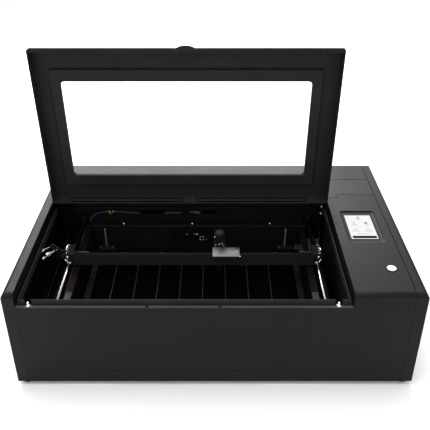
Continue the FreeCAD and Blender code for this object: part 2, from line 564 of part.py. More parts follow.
def bed():
    """The honeycomb in its frame, with flanged nuts that ride on four threaded rods."""
    left, wide = "bed_mid - bed_half + bed_bar", "2 * bed_half - 2 * bed_bar"
    deep = "bed_rear - bed_front - 2 * bed_bar"
    comb = block((left + " + 0.2", "bed_front + bed_bar + 0.2", "bed_top - comb_thick"),
                 (wide + " - 0.4", deep + " - 0.4", "comb_thick - 0.6"))
    slats = [block(("slat_first + %d * slat_pitch - slat_wide / 2" % number, "bed_front + bed_bar + 0.2",
                    "bed_top - 1"), ("slat_wide", deep + " - 0.4", "1")) for number in range(8)]
    node("honeycomb_panel", joined(comb, *slats))
    rim = block(("bed_mid - bed_half", "bed_front", "bed_top - bed_thick"),
                ("2 * bed_half", "bed_rear - bed_front", "bed_thick"))
    inside = block((left, "bed_front + bed_bar", "bed_top - bed_thick - 1"), (wide, deep, "bed_thick + 2"))
    holes = []
    for side in ("bed_mid - bed_half + bed_bar / 2", "bed_mid + bed_half - bed_bar / 2"):
        for number in range(11):
            along = "bed_front + 15 + %d * (bed_rear - bed_front - 30) / 10" % number
            holes.append(bar("z", (side, along, "bed_top - 4"), "2.2", "6"))
    frame_bars = cut(rim, inside, *holes)
    nuts = []
    for side in SIDES:
        middle = "bed_mid - 2 %s screw_half" % side
        for along, edge in (("screw_rear", "bed_rear - 6"), ("screw_front", "screw_front - 9")):
            flange = block((middle + " - 22", edge, "bed_top + 0.01"), ("44", "24", "3"))
            foot = block((middle + " - 22", edge, "bed_top - bed_thick"), ("44", "24", "bed_thick + 1"))
            nut = bar("z", (middle, along, "bed_top"), "nut_radius", "14")
            way = bar("z", (middle, along, "bed_top - 30"), "screw_radius + 0.1", "60")
            nuts.append(cut(joined(flange, foot, nut), way))
    node("bed_frame", cut(joined(frame_bars, *nuts), inside))
    rods = []
    for side in SIDES:
        middle = "bed_mid - 2 %s screw_half" % side
        rods.append(bar("z", (middle, "screw_rear", "feet_height + skin + 0.2"), "screw_radius", "160"))
        rods.append(bar("z", (middle, "screw_front", "feet_height + skin + 0.2"), "screw_radius", "140"))
    node("bed_rods", group(*rods))


# ---------------------------------------------------------------- chamber walls and services

def walls():
    """The folded back wall with its slots and grille, and the wall under the console."""
    panel = padded("YZ_Plane", [("wall_y", "feet_height + skin + 0.3"),
                                ("wall_y + sheet", "feet_height + skin + 0.3"),
                                ("wall_y + sheet", "ledge_z - sheet"),
                                ("wall_upper_y + sheet", "ledge_z - sheet"),
                                ("wall_upper_y + sheet", "wall_top"), ("wall_upper_y", "wall_top"),
                                ("wall_upper_y", "ledge_z"), ("wall_y", "ledge_z")],
                   "2 * beam_half", ("chamber_mid - beam_half", "0", "0"))
    corners = []
    for low, wide in (("chamber_mid + beam_half - 0.1", "console_left - chamber_mid - beam_half - seam"),
                      ("1.5 - seam_x", "seam_x + chamber_mid - beam_half - 1.4")):
        corners.append(block((low, "wall_upper_y", "return_top"), (wide, "sheet", "wall_top - return_top")))
        corners.append(block((low, "wall_upper_y", "return_top"),
                             (wide, "return_y + sheet - wall_upper_y", "sheet")))
        corners.append(block((low, "return_y", "return_low"), (wide, "sheet", "return_top - return_low + sheet")))
    beam_way = bar("y", ("mirror_x", "return_y - 1", "optic_z"), "beam_hole", "sheet + 2")
    slots = [block((low, "wall_upper_y - 1", "ledge_z + 26"), (wide, "sheet + 2", "10"))
             for low, wide in (("-205", "68"), ("-35", "37"))]
    holes = []
    for column in range(14):
        for line in range(5):
            holes.append(bar("y", ("grille_left + 6 + %d * grille_pitch" % column, "wall_y - 1",
                                   "grille_low + 5 + %d * grille_pitch" % line), "grille_hole", "sheet + 2"))
    node("chamber_back_wall", cut(joined(panel, *corners), *slots, *holes, beam_way))
    node("console_divider", block(("console_left + skin + 1", "front_edge + 2 * skin", "feet_height + skin + 0.3"),
                                  ("sheet", "deck_front - 2 - front_edge - 2 * skin", "front_top - feet_height - 2 * skin - 1")))
    heads = []
    for across, along, up in (("-258", "wall_y + 11", "ledge_z + 0.1"), ("155", "wall_y + 11", "ledge_z + 0.1")):
        heads.append(bar("z", (across, along, up), "4", "2.5"))
    heads.append(bar("x", ("console_left + skin - 2", "deck_front - 12", "211"), "4", "2.9"))
    heads.append(bar("y", ("console_left - 4.6", "wall_upper_y - 2.6", "226"), "4", "2.5"))
    node("cabinet_screws", group(*heads))


def services():
    """Laser tube, first mirror, exhaust, electronics, water and mains pieces."""
    middle = ("tube_y", "optic_z")
    glass = bar("x", ("tube_left + 12",) + middle, "tube_radius", "tube_right - tube_left - 24")
    nipple = bar("x", ("tube_left",) + middle, "9", "tube_right - tube_left")
    node("laser_tube", joined(glass, nipple))
    clamps = []
    for across in ("-260", "40", "330"):
        foot = block((across + " - 10", "tube_y - 38", "optic_z - 58"), ("20", "76", "54"))
        ring = bar("x", (across + " - 10",) + middle, "tube_radius + 7", "20")
        way = bar("x", (across + " - 12",) + middle, "tube_radius + 0.3", "24")
        clamps.append(cut(joined(foot, ring), way))
    shelf = block(("tube_left", "tube_y - 40", "optic_z - 60"), ("tube_right - tube_left - 20", "80", "2"))
    node("tube_clamps", group(*clamps, shelf))
    column = block(("mirror_x - 16", "tube_y - 8", "feet_height + skin + 0.3"), ("24", "24", "optic_z - 31"))
    node("rear_mirror_mount", joined(column, *mirror("tube_y", 45)))

    half = "fan_size / 2"
    low = "fan_z - " + half
    square = upright_fan(half, low)
    node("exhaust_fan_frame", square)
    hub = bar("y", ("fan_x", "fan_front + 11", "fan_z"), "16", "24")
    blades = []
    for number in range(7):
        blade = doc.addObject("Part::Box", "blade")
        blade.Length, blade.Width, blade.Height = 30.0, 2.0, 22.0
        about = Rotation(Vector(0, 1, 0), 360.0 * number / 7)
        spin = Placement(Vector(SIZES["fan_x"], SIZES["fan_front"] + 23, SIZES["fan_z"]), about)
        pitch = Placement(Vector(14, 0, 0), Rotation(Vector(1, 0, 0), 50))
        blade.Placement = spin.multiply(pitch).multiply(Placement(Vector(0, -1, -11), Rotation()))
        blades.append(blade)
    node("exhaust_rotor", joined(hub, *blades))
    inner = "collar_outer - collar_wall"
    pipe = bar("y", ("fan_x", "fan_front + fan_deep + 0.3", "fan_z"), "collar_outer - 0.5",
               "rear_edge - fan_front - fan_deep")
    collar = bar("y", ("fan_x", "rear_edge + 1", "fan_z"), "collar_outer", "collar_end - rear_edge - 1")
    flange = bar("y", ("fan_x", "rear_edge + 0.1", "fan_z"), "collar_outer + 8", "1.9")
    way = bar("y", ("fan_x", "fan_front", "fan_z"), inner, "collar_end")
    node("exhaust_duct", cut(joined(pipe, collar, flange), way))

    node("high_voltage_supply", block(("330", "-210", "feet_height + skin + 0.3"), ("110", "170", "90")))
    board = block(("325", "-300", "30"), ("115", "75", "2"))
    chips = [block((low, along, "32"), (wide, deep, tall)) for low, along, wide, deep, tall in
             (("330", "-295", "40", "10", "10"), ("345", "-270", "16", "16", "3"), ("380", "-270", "30", "30", "8"),
              ("420", "-295", "12", "60", "12"))]
    posts = [bar("z", (low, along, "feet_height + skin + 0.3"), "3", "15.8")
             for low in ("330", "435") for along in ("-295", "-230")]
    node("controller_board", joined(board, *chips, *posts))
    node("water_tank", upright(block(("120", "150", "feet_height + skin + 0.3"), ("190", "130", "110")), 12.0))

    plate = block(("inlet_x - 36", "rear_edge + 0.1", "inlet_z - 20"), ("56", "2", "40"))
    housing = block(("inlet_x - 14", "rear_edge - 24", "inlet_z - 11"), ("28", "25", "22"))
    socket = block(("inlet_x - 12", "rear_edge - 15", "inlet_z - 8"), ("24", "20", "16"))
    seat = block(("inlet_x - 31", "rear_edge - 3", "inlet_z - 12"), ("12", "6", "24"))
    pins = [block((across, "rear_edge - 15.5", up), ("2", "12", "4")) for across, up in
            (("inlet_x - 8", "inlet_z - 5"), ("inlet_x + 6", "inlet_z - 5"), ("inlet_x - 1", "inlet_z + 1"))]
    node("power_inlet", joined(cut(joined(plate, housing), socket, seat), *pins))
    rocker = padded("YZ_Plane", [("-6", "-9"), ("0", "-10.4"), ("4", "-10"), ("2.4", "0"), ("4", "10"),
                                 ("0", "10.4"), ("-6", "9")], "11", ("inlet_x - 30.5", "rear_edge + 1", "inlet_z"))
    pivot = bar("x", ("inlet_x - 30.9", "rear_edge + 1", "inlet_z"), "1.5", "11.8")
    holder = group(joined(rocker, pivot))
    about = Vector(0, SIZES["rear_edge"] + 1, SIZES["inlet_z"])
    holder.Placement = Placement(Vector(), Rotation(Vector(1, 0, 0), -6), about)
    node("mains_switch", holder)
    hose()


def upright_fan(half, low):
    """A square fan frame with a round way through it and a motor boss on three struts."""
    square = upright(block(("fan_x - " + half, "fan_front", low), ("fan_size", "fan_deep", "fan_size")), 5.0)
    way = bar("y", ("fan_x", "fan_front - 1", "fan_z"), half + " - 3", "fan_deep + 2")
    boss = bar("y", ("fan_x", "fan_front + 1", "fan_z"), "14", "9.5")
    struts = [block(("fan_x - " + half + " + 1", "fan_front + 1", "fan_z - 2"), ("fan_size - 2", "4", "4")),
              block(("fan_x - 2", "fan_front + 1", low + " + 1"), ("4", "4", "fan_size - 2"))]
    return joined(cut(square, way), boss, *struts)


# A light coolant hose clipped along the back wall: its route, then its sweep.
HOSE_ROUTE = [(-352, 119.5, 184), (-347, 119.5, 196), (-333, 119.3, 207), (-308, 119.2, 213), (-276, 119.2, 213.5),
              (-244, 119.2, 211), (-214, 119.2, 208)]


def hose():
    """Straight runs joined by tangent arcs, as large as the runs allow."""
    points = [Vector(*point) for point in HOSE_ROUTE]
    edges, start = [], points[0]
    for before, at, after in zip(points, points[1:], points[2:]):
        toward, away = (before - at).normalize(), (after - at).normalize()
        turn = math.pi - toward.getAngle(away)
        reach = 0.45 * min((before - at).Length, (after - at).Length)
        radius = reach / math.tan(turn / 2)
        entry, leave = at + toward * reach, at + away * reach
        inward = (toward + away).normalize()
        middle = at + inward * (radius / math.cos(turn / 2) - radius)
        edges.append(Part.LineSegment(start, entry).toShape())
        edges.append(Part.Arc(entry, middle, leave).toShape())
        print("hose bend radius %.1f mm" % radius)
        start = leave
    edges.append(Part.LineSegment(start, points[-1]).toShape())
    path = Part.Wire(edges)
    heading = (points[1] - points[0]).normalize()
    ring = Part.Wire([Part.Circle(points[0], heading, SIZES["hose_radius"]).toShape()])
    tube = path.makePipeShell([ring], True, False)
    expected = math.pi * SIZES["hose_radius"] ** 2 * path.Length
    if abs(tube.Volume - expected) > 0.02 * expected:
        raise RuntimeError("the hose's volume is %.0f, not %.0f" % (tube.Volume, expected))
    piece = doc.addObject("Part::Feature", "hose")
    piece.Shape = tube
    node("coolant_hose", piece)


def save():
    """Checks every object and writes each sub-part to its file."""
    doc.recompute()
    for item in doc.Objects:
        if "Invalid" in item.State or "Error" in item.State:
            raise RuntimeError("%s is %s" % (item.Name, item.State))
    os.makedirs("parts", exist_ok=True)
    for piece in NODES:
        if piece.Shape.isNull() or not piece.Shape.isValid():
            raise RuntimeError(piece.Label + " has no valid shape")
        piece.Shape.exportStep("parts/%s.step" % piece.Label)
        box = piece.Shape.BoundBox
        print("%-22s solids %2d  x %7.1f %7.1f  y %7.1f %7.1f  z %7.1f %7.1f" % (
            piece.Label, len(piece.Shape.Solids), box.XMin, box.XMax, box.YMin, box.YMax, box.ZMin, box.ZMax))
    print(len(NODES), "nodes")


casing()
gutter()
tray()
console()
lid()
frame_rails()
gantry()
head()
bed()
walls()
services()
save()
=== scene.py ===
import json
import math

import bmesh
import bpy
from bpy.props import FloatProperty, FloatVectorProperty, IntProperty, PointerProperty
from bpy.types import Operator, Panel, PropertyGroup
from mathutils import Matrix, Vector


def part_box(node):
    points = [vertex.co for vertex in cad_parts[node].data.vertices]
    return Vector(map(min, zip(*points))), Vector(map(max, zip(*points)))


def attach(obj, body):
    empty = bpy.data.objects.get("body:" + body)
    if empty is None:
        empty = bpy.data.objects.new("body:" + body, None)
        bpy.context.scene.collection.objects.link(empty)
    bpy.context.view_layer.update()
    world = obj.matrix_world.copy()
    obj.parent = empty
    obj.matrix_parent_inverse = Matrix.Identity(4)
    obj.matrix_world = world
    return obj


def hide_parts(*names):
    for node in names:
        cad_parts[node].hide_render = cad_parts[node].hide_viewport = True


bl_info = {
    "name": "Desktop Laser Cutter",
    "version": (1, 0, 0),
    "blender": (4, 5, 0),
    "location": "3D View > Sidebar > Laser Cutter",
    "description": "Dresses the laser cutter's frame with finished pieces and materials",
    "category": "Object",
}

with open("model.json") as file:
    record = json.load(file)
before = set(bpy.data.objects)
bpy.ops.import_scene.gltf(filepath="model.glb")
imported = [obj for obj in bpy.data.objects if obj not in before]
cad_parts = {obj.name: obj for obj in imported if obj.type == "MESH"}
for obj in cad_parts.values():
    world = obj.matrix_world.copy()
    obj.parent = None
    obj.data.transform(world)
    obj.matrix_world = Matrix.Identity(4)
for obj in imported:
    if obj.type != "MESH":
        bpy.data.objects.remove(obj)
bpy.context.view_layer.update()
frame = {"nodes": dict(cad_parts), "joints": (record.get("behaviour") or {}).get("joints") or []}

MM = 0.001
UP = Vector((0, 0, 1))
BACKWARD = (0, 1, 0)
SIDEWAYS = (1, 0, 0)

# Where the machine's pieces meet, in millimetres.
COVER_TOP = 270
LEDGE_TOP = 234
LEDGE_LEFT, LEDGE_RIGHT, LEDGE_FRONT = -437.2, 303.2, -325.9
END_SEAM_X = 437.5
HINGES = (-407, -69, 262)
BED_RODS = [(across, along) for across in (-308, 198) for along in (92, -263)]
BELT_WHEELS = (-382.0, 271.0)
IDLER_Y, SHAFT_Y, SHAFT_Z = -296, 129, 160
GUIDE_RODS = (-371.5, 260.5)
CROSS_BELT_Y, CROSS_BELT_Z = -72.2, 186.5
HEAD_X, HEAD_Y = 11.7, -47.6
TUBE_Y, RAY_Z = 214, 195
MIRROR_X = -408


# ---------------------------------------------------------------- settings

class CutterFinishes(PropertyGroup):
    coat_colour: FloatVectorProperty(
        name="Powder coat", description="Colour of the folded steel panels",
        subtype="COLOR", size=3, min=0, max=1, default=(0.0045, 0.0045, 0.0046))
    coat_roughness: FloatProperty(
        name="Coat roughness", description="How matte the powder coat is",
        subtype="FACTOR", min=0, max=1, default=0.46)
    coat_gloss: FloatProperty(
        name="Coat gloss", description="Strength of the powder coat's reflections",
        subtype="FACTOR", min=0, max=1, default=0.14)
    chamber_colour: FloatVectorProperty(
        name="Chamber walls", description="Colour of the sheets inside the chamber",
        subtype="COLOR", size=3, min=0, max=1, default=(0.0068, 0.0068, 0.007))
    screen_glow: FloatProperty(
        name="Screen glow", description="Brightness of the lit touchscreen",
        min=0, soft_max=5, default=0.88)
    window_tint: FloatProperty(
        name="Window tint", description="How much the clear lid sheet hides",
        subtype="FACTOR", min=0, max=1, default=0.06)


class CutterSizes(PropertyGroup):
    cell_across: FloatProperty(
        name="Cell size", description="Honeycomb cell, measured across its flats",
        subtype="DISTANCE", unit="LENGTH", min=0.003, max=0.02, default=0.0064)
    foil: FloatProperty(
        name="Foil", description="Half the thickness of the honeycomb's foil as drawn",
        subtype="DISTANCE", unit="LENGTH", min=0.0001, max=0.001, default=0.00035)
    tooth_pitch: FloatProperty(
        name="Tooth pitch", description="Pitch of the toothed belts",
        subtype="DISTANCE", unit="LENGTH", min=0.001, max=0.01, default=0.002)
    thread_pitch: FloatProperty(
        name="Thread pitch", description="Pitch of the bed's threaded rods",
        subtype="DISTANCE", unit="LENGTH", min=0.0005, max=0.01, default=0.0025)
    round_steps: IntProperty(
        name="Round steps", description="Facets round each turned piece",
        min=12, max=96, default=40)


class CutterStage(PropertyGroup):
    camera_place: FloatVectorProperty(
        name="Camera", description="Where the camera stands",
        subtype="TRANSLATION", unit="LENGTH", size=3, default=(0.0, -1.4006, 1.1222))
    camera_pitch: FloatProperty(
        name="Camera pitch", description="Tilt of the camera up from straight down",
        subtype="ANGLE", unit="ROTATION", default=math.radians(58.8))
    lens: FloatProperty(
        name="Lens", description="Focal length on a 36 mm sensor", min=10, max=200, default=52.87)
    key_power: FloatProperty(
        name="Key light", description="Power of the large overhead softbox",
        unit="POWER", min=0, default=36.0)
    rear_power: FloatProperty(
        name="Rear light", description="Power of the softbox behind the object",
        unit="POWER", min=0, default=130.0)
    front_power: FloatProperty(
        name="Front light", description="Power of the soft fill in front, to the left",
        unit="POWER", min=0, default=6.0)
    sky: FloatProperty(
        name="Surround", description="Brightness of the white surround", min=0, soft_max=3, default=1.0)


# ---------------------------------------------------------------- materials

made = {}


def shader(name, colour, roughness, metallic=0.0, gloss=0.5):
    """A principled material with its even values on the shader's own sockets."""
    material = bpy.data.materials.new(name)
    material.use_nodes = True
    principled = material.node_tree.nodes["Principled BSDF"]
    principled.inputs["Base Color"].default_value = (*colour, 1)
    principled.inputs["Roughness"].default_value = roughness
    principled.inputs["Metallic"].default_value = metallic
    principled.inputs["Specular IOR Level"].default_value = gloss
    made[name] = material
    return principled, material.node_tree


def noise(tree, scale, detail, stretch=(1, 1, 1)):
    """Noise in the object's own space, in turns per metre."""
    place = tree.nodes.new("ShaderNodeTexCoord")
    mapping = tree.nodes.new("ShaderNodeMapping")
    mapping.inputs["Scale"].default_value = stretch
    texture = tree.nodes.new("ShaderNodeTexNoise")
    texture.inputs["Scale"].default_value = scale
    texture.inputs["Detail"].default_value = detail
    tree.links.new(place.outputs["Object"], mapping.inputs["Vector"])
    tree.links.new(mapping.outputs["Vector"], texture.inputs["Vector"])
    return texture.outputs["Fac"]


def spread(tree, source, low, high, socket):
    """Sends a texture, spread between two values, to a socket."""
    ranged = tree.nodes.new("ShaderNodeMapRange")
    ranged.inputs["From Min"].default_value = 0.3
    ranged.inputs["From Max"].default_value = 0.7
    ranged.inputs["To Min"].default_value = low
    ranged.inputs["To Max"].default_value = high
    tree.links.new(source, ranged.inputs["Value"])
    tree.links.new(ranged.outputs["Result"], socket)


def tinted(tree, source, dark, light, socket):
    """Sends a texture, as a colour between two, to a socket."""
    ramp = tree.nodes.new("ShaderNodeValToRGB")
    ramp.color_ramp.elements[0].position = 0.3
    ramp.color_ramp.elements[0].color = (*dark, 1)
    ramp.color_ramp.elements[1].position = 0.7
    ramp.color_ramp.elements[1].color = (*light, 1)
    tree.links.new(source, ramp.inputs["Fac"])
    tree.links.new(ramp.outputs["Color"], socket)


def raised(tree, principled, source, strength, height):
    """Sends a texture to a bump of a given height in metres."""
    bump = tree.nodes.new("ShaderNodeBump")
    bump.inputs["Strength"].default_value = strength
    bump.inputs["Distance"].default_value = height
    tree.links.new(source, bump.inputs["Height"])
    tree.links.new(bump.outputs["Normal"], principled.inputs["Normal"])


def lighter(colour, times):
    return tuple(min(1.0, part * times) for part in colour)


def finish(name, colour, roughness, cloud, shades, swing, relief, grain=None, metallic=0.0, gloss=0.5):
    """Colour and roughness that drift with one texture, and relief from a second one or the same."""
    principled, tree = shader(name, colour, roughness, metallic, gloss)
    drift = noise(tree, *cloud)
    dark, light = shades
    tinted(tree, drift, lighter(colour, dark), lighter(colour, light), principled.inputs["Base Color"])
    spread(tree, drift, roughness - swing[0], roughness + swing[1], principled.inputs["Roughness"])
    raised(tree, principled, noise(tree, *grain) if grain else drift, *relief)


def powder_coat(name, colour, roughness, gloss):
    """Fine sprayed texture with faint handling marks."""
    finish(name, colour, roughness, (9, 4.0), (0.88, 1.14), (0.035, 0.035), (0.22, 0.0002), (1400, 2.0),
           gloss=gloss)


def anodised(name, colour, gloss):
    """Dyed aluminium with the extrusion's faint draw lines."""
    finish(name, colour, 0.38, (500, 2.0, (0.01, 1, 1)), (0.85, 1.2), (0.05, 0.05), (0.08, 0.0001),
           gloss=gloss)


def brushed(name, colour, roughness, stretch):
    """Bare metal with fine lines along one direction."""
    finish(name, colour, roughness, (900, 3.0, stretch), (0.86, 1.06), (0.07, 0.09), (0.12, 0.0001),
           metallic=1.0)


def moulded(name, colour, roughness, grain_scale=1100, gloss=0.45):
    """Plastic or rubber with a moulded grain."""
    finish(name, colour, roughness, (25, 3.0), (0.92, 1.08), (0.04, 0.04), (0.15, 0.00015), (grain_scale, 2.0),
           gloss=gloss)


def polished(name, colour, roughness=0.09):
    """Plated metal with faint smears."""
    principled, tree = shader(name, colour, roughness, metallic=1.0)
    spread(tree, noise(tree, 60, 5.0), roughness * 0.6, roughness * 1.9, principled.inputs["Roughness"])


def glowing(name, colour, strength):
    """A lit area of the touchscreen, with the faint unevenness of its backlight."""
    principled, tree = shader(name, lighter(colour, 0.04), 0.5, gloss=0.0)
    tinted(tree, noise(tree, 12, 2.0), lighter(colour, 0.97), colour, principled.inputs["Emission Color"])
    principled.inputs["Emission Strength"].default_value = strength


def clear(name, colour, hiding, roughness=0.05):
    """Clear sheet or glass, thin enough to show what is behind it straight."""
    principled, tree = shader(name, colour, roughness)
    principled.inputs["Alpha"].default_value = hiding
    spread(tree, noise(tree, 14, 4.0), roughness, roughness + 0.06, principled.inputs["Roughness"])


def make_materials(finishes):
    """Every finish of the machine, under its maker's name."""
    coat = tuple(finishes.coat_colour)
    powder_coat("black_coat", coat, finishes.coat_roughness, finishes.coat_gloss)
    # Lighter copy of the powder coat: painted light on the open lid's inner face and on the shaded gutter
    # floor.
    powder_coat("painted_light_coat", lighter(coat, 4.0), finishes.coat_roughness, 0.4 * finishes.coat_gloss)
    # Lighter, matte copy of the powder coat: painted light on the lid's hem, which faces up when the lid is
    # open.
    powder_coat("painted_light_hem_coat", lighter(coat, 2.4), 0.85, 0.0)
    # Much lighter copy of the powder coat: a painted highlight along the front panel's folded top edge.
    powder_coat("sill_highlight_coat", lighter(coat, 12), 0.6, finishes.coat_gloss)
    powder_coat("chamber_coat", tuple(finishes.chamber_colour), 0.5, 0.1)
    anodised("black_anodised", (0.0115, 0.0115, 0.0118), 0.02)
    anodised("beam_anodised", (0.0175, 0.0175, 0.0178), 0.02)
    anodised("side_anodised", (0.004, 0.004, 0.0042), 0.02)
    anodised("fitting_anodised", (0.008, 0.008, 0.0083), 0.09)
    # Lighter anodised, also used for the painted light on the side rails' tops.
    anodised("rail_anodised", (0.022, 0.022, 0.023), 0.12)
    brushed("plate_aluminium", (0.165, 0.165, 0.168), 0.5, (0.02, 1, 1))
    brushed("motor_plate", (0.03, 0.03, 0.031), 0.35, (1, 0.04, 1))
    brushed("turned_aluminium", (0.35, 0.35, 0.36), 0.25, (1, 1, 0.02))
    brushed("zinc_steel", (0.25, 0.25, 0.26), 0.3, (0.04, 1, 1))
    brushed("comb_foil", (0.012, 0.012, 0.0125), 0.42, (1, 1, 0.05))
    brushed("slat_steel", (0.05, 0.05, 0.052), 0.5, (1, 0.02, 1))
    polished("plated_chrome", (0.86, 0.87, 0.88))
    polished("guide_chrome", (0.42, 0.425, 0.43), 0.12)
    polished("mirror_coating", (0.90, 0.72, 0.42), 0.03)
    polished("brass_gold", (0.76, 0.55, 0.24), 0.2)
    moulded("belt_rubber", (0.0025, 0.0025, 0.0025), 0.7, 700, 0.06)
    # Flat black for the drag chain and seals, also used for painted shade in the cover seams and the hinge
    # rail's slots.
    moulded("flat_black_and_painted_shade", (0.0006, 0.0006, 0.0006), 0.8, 700, 0.01)
    moulded("foot_rubber", (0.005, 0.005, 0.005), 0.72, 600, 0.15)
    moulded("black_plastic", (0.005, 0.005, 0.0052), 0.45, 1100, 0.2)
    moulded("motor_black", (0.006, 0.006, 0.0062), 0.4, 900, 0.25)
    moulded("soft_white", (0.80, 0.81, 0.82), 0.3, 1500)
    moulded("hose_silicone", (0.055, 0.055, 0.052), 0.38, 300, 0.2)
    moulded("tie_yellow", (0.50, 0.40, 0.02), 0.4)
    moulded("tank_plastic", (0.62, 0.66, 0.68), 0.35, 400)
    moulded("board_mask", (0.012, 0.10, 0.035), 0.3, 900)
    moulded("wire_red", (0.12, 0.006, 0.006), 0.5, gloss=0.1)
    moulded("wire_yellow", (0.11, 0.10, 0.01), 0.5, gloss=0.1)
    clear("window_sheet", (0.9, 0.93, 0.93), finishes.window_tint)
    clear("tube_glass", (0.80, 0.88, 0.90), 0.30, 0.03)
    clear("coolant", (0.72, 0.55, 0.75), 0.45, 0.1)
    glowing("screen_white", (1.0, 1.0, 1.0), finishes.screen_glow)
    glowing("icon_orange", (1.0, 0.36, 0.06), 0.9)
    glowing("icon_yellow", (1.0, 0.60, 0.04), 1.0)
    glowing("icon_violet", (0.45, 0.45, 0.95), 0.8)
    glowing("icon_grey", (0.2, 0.195, 0.2), 0.8)
    glowing("icon_black", (0.008, 0.008, 0.009), 0.3)


# ---------------------------------------------------------------- meshes
# Pieces are drawn in millimetres and scaled to metres when each mesh is closed.


def piece(name, form, material, body, instead_of=(), angle=35):
    """Closes a drawn form, gives it its finish and puts it on its body."""
    form.transform(Matrix.Scale(MM, 4))
    bmesh.ops.recalc_face_normals(form, faces=form.faces)
    for edge in form.edges:
        edge.smooth = len(edge.link_faces) == 2 and edge.calc_face_angle(0) < math.radians(angle)
    for face in form.faces:
        face.smooth = True
    mesh = bpy.data.meshes.new(name)
    form.to_mesh(mesh)
    form.free()
    mesh.materials.append(made[material])
    thing = bpy.data.objects.new(name, mesh)
    bpy.context.scene.collection.objects.link(thing)
    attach(thing, body)
    if instead_of:
        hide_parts(*instead_of)
    return thing


def span(node):
    """A CAD node's lowest and highest corner, in millimetres."""
    low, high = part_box(node)
    return low / MM, high / MM


def middle(node):
    low, high = span(node)
    return (low + high) / 2


def facing(axis):
    """The turn that takes Z to an axis."""
    return UP.rotation_difference(Vector(axis)).to_matrix().to_4x4()


def add_lathe(form, profile, at, axis=UP, steps=None, lobes=0, depth=0.0):
    """Turns (radius, height) pairs about an axis; lobes cut a knurl that deep into the widest part."""
    steps = steps or bpy.context.scene.cutter_sizes.round_steps
    turn = Matrix.Translation(at) @ facing(axis)
    widest = max(radius for radius, height in profile)
    rings = []
    for radius, height in profile:
        if radius < 1e-4:
            rings.append([form.verts.new(turn @ Vector((0, 0, height)))])
            continue
        ring = []
        for step in range(steps):
            angle = 2 * math.pi * step / steps
            reach = radius
            if lobes and radius > widest - 0.01:
                reach -= depth * (0.5 - 0.5 * math.cos(lobes * angle))
            reach_x, reach_y = reach * math.cos(angle), reach * math.sin(angle)
            ring.append(form.verts.new(turn @ Vector((reach_x, reach_y, height))))
        rings.append(ring)
    for lower, upper in zip(rings, rings[1:]):
        for step in range(steps):
            following = (step + 1) % steps
            if len(lower) == 1 and len(upper) > 1:
                form.faces.new((lower[0], upper[step], upper[following]))
            elif len(upper) == 1 and len(lower) > 1:
                form.faces.new((lower[step], lower[following], upper[0]))
            elif len(lower) > 1:
                form.faces.new((lower[step], lower[following], upper[following], upper[step]))
    if profile[0] == profile[-1] and len(rings[0]) > 1:
        bmesh.ops.remove_doubles(form, verts=rings[0] + rings[-1], dist=1e-4)
        return
    for ring in (rings[0], rings[-1]):
        if len(ring) > 1:
            form.faces.new(ring)


def add_block(form, low, high, bevel=0.4, segments=2):
    """A box with rounded edges between two corners."""
    low, high = Vector(low), Vector(high)
    matrix = Matrix.Translation((high + low) / 2) @ Matrix.Diagonal((*(high - low), 1))
    corners = bmesh.ops.create_cube(form, size=1.0, matrix=matrix)["verts"]
    if bevel:
        edges = list(dict.fromkeys(edge for corner in corners for edge in corner.link_edges))
        bmesh.ops.bevel(form, geom=edges, offset=bevel, segments=segments, affect="EDGES", profile=0.5)


def add_prism(form, outline, low, high, turn=None, bevel=0.0):
    """An outline in XY, padded from one height to another."""
    turn = turn or Matrix.Identity(4)
    bottom = [form.verts.new(turn @ Vector((across, along, low))) for across, along in outline]
    top = [form.verts.new(turn @ Vector((across, along, high))) for across, along in outline]
    caps = [form.faces.new(list(reversed(bottom))), form.faces.new(top)]
    for number in range(len(outline)):
        following = (number + 1) % len(outline)
        form.faces.new((bottom[number], bottom[following], top[following], top[number]))
    if bevel:
        edges = list(dict.fromkeys(edge for face in caps for edge in face.edges))
        bmesh.ops.bevel(form, geom=edges, offset=bevel, segments=2, affect="EDGES", profile=0.5)


def round_outline(low, high, radius, steps=6):
    """A rectangle with round corners, as points."""
    left, right = low[0] + radius, high[0] - radius
    front, back = low[1] + radius, high[1] - radius
    points = []
    for across, along, start in ((right, back, 0), (left, back, 90), (left, front, 180), (right, front, 270)):
        for step in range(steps + 1):
            angle = math.radians(start + 90 * step / steps)
            points.append((across + radius * math.cos(angle), along + radius * math.sin(angle)))
    return points


def add_skin(form, loops, close_ends=False):
    """Joins loops of the same number of points into one skin."""
    rings = [[form.verts.new(point) for point in loop] for loop in loops]
    for lower, upper in zip(rings, rings[1:]):
        for number in range(len(lower)):
            following = (number + 1) % len(lower)
            form.faces.new((lower[number], lower[following], upper[following], upper[number]))
    if close_ends:
        form.faces.new(list(reversed(rings[0])))
        form.faces.new(rings[-1])


def add_wire(form, points, radius, steps=10):
    """A round wire that follows points, with closed ends."""
    points = [Vector(point) for point in points]
    loops, side = [], None
    for number, point in enumerate(points):
        heading = (points[min(number + 1, len(points) - 1)] - points[max(number - 1, 0)]).normalized()
        side = side or heading.orthogonal().normalized()
        side = (side - heading * side.dot(heading)).normalized()
        other = heading.cross(side)
        loops.append([point + radius * (side * math.cos(angle) + other * math.sin(angle))
                      for angle in (2 * math.pi * step / steps for step in range(steps))])
    add_skin(form, loops, close_ends=True)


def smooth_route(points, steps=8):
    """Points along one smooth curve through the given ones."""
    points = [Vector(point) for point in points]
    line = [points[0] * 2 - points[1], *points, points[-1] * 2 - points[-2]]
    route = []
    for first, second, third, fourth in zip(line, line[1:], line[2:], line[3:]):
        for step in range(steps):
            part = step / steps
            route.append(0.5 * ((2 * second) + (third - first) * part
                                + (2 * first - 5 * second + 4 * third - fourth) * part ** 2
                                + (3 * second - first - 3 * third + fourth) * part ** 3))
    return [*route, points[-1]]


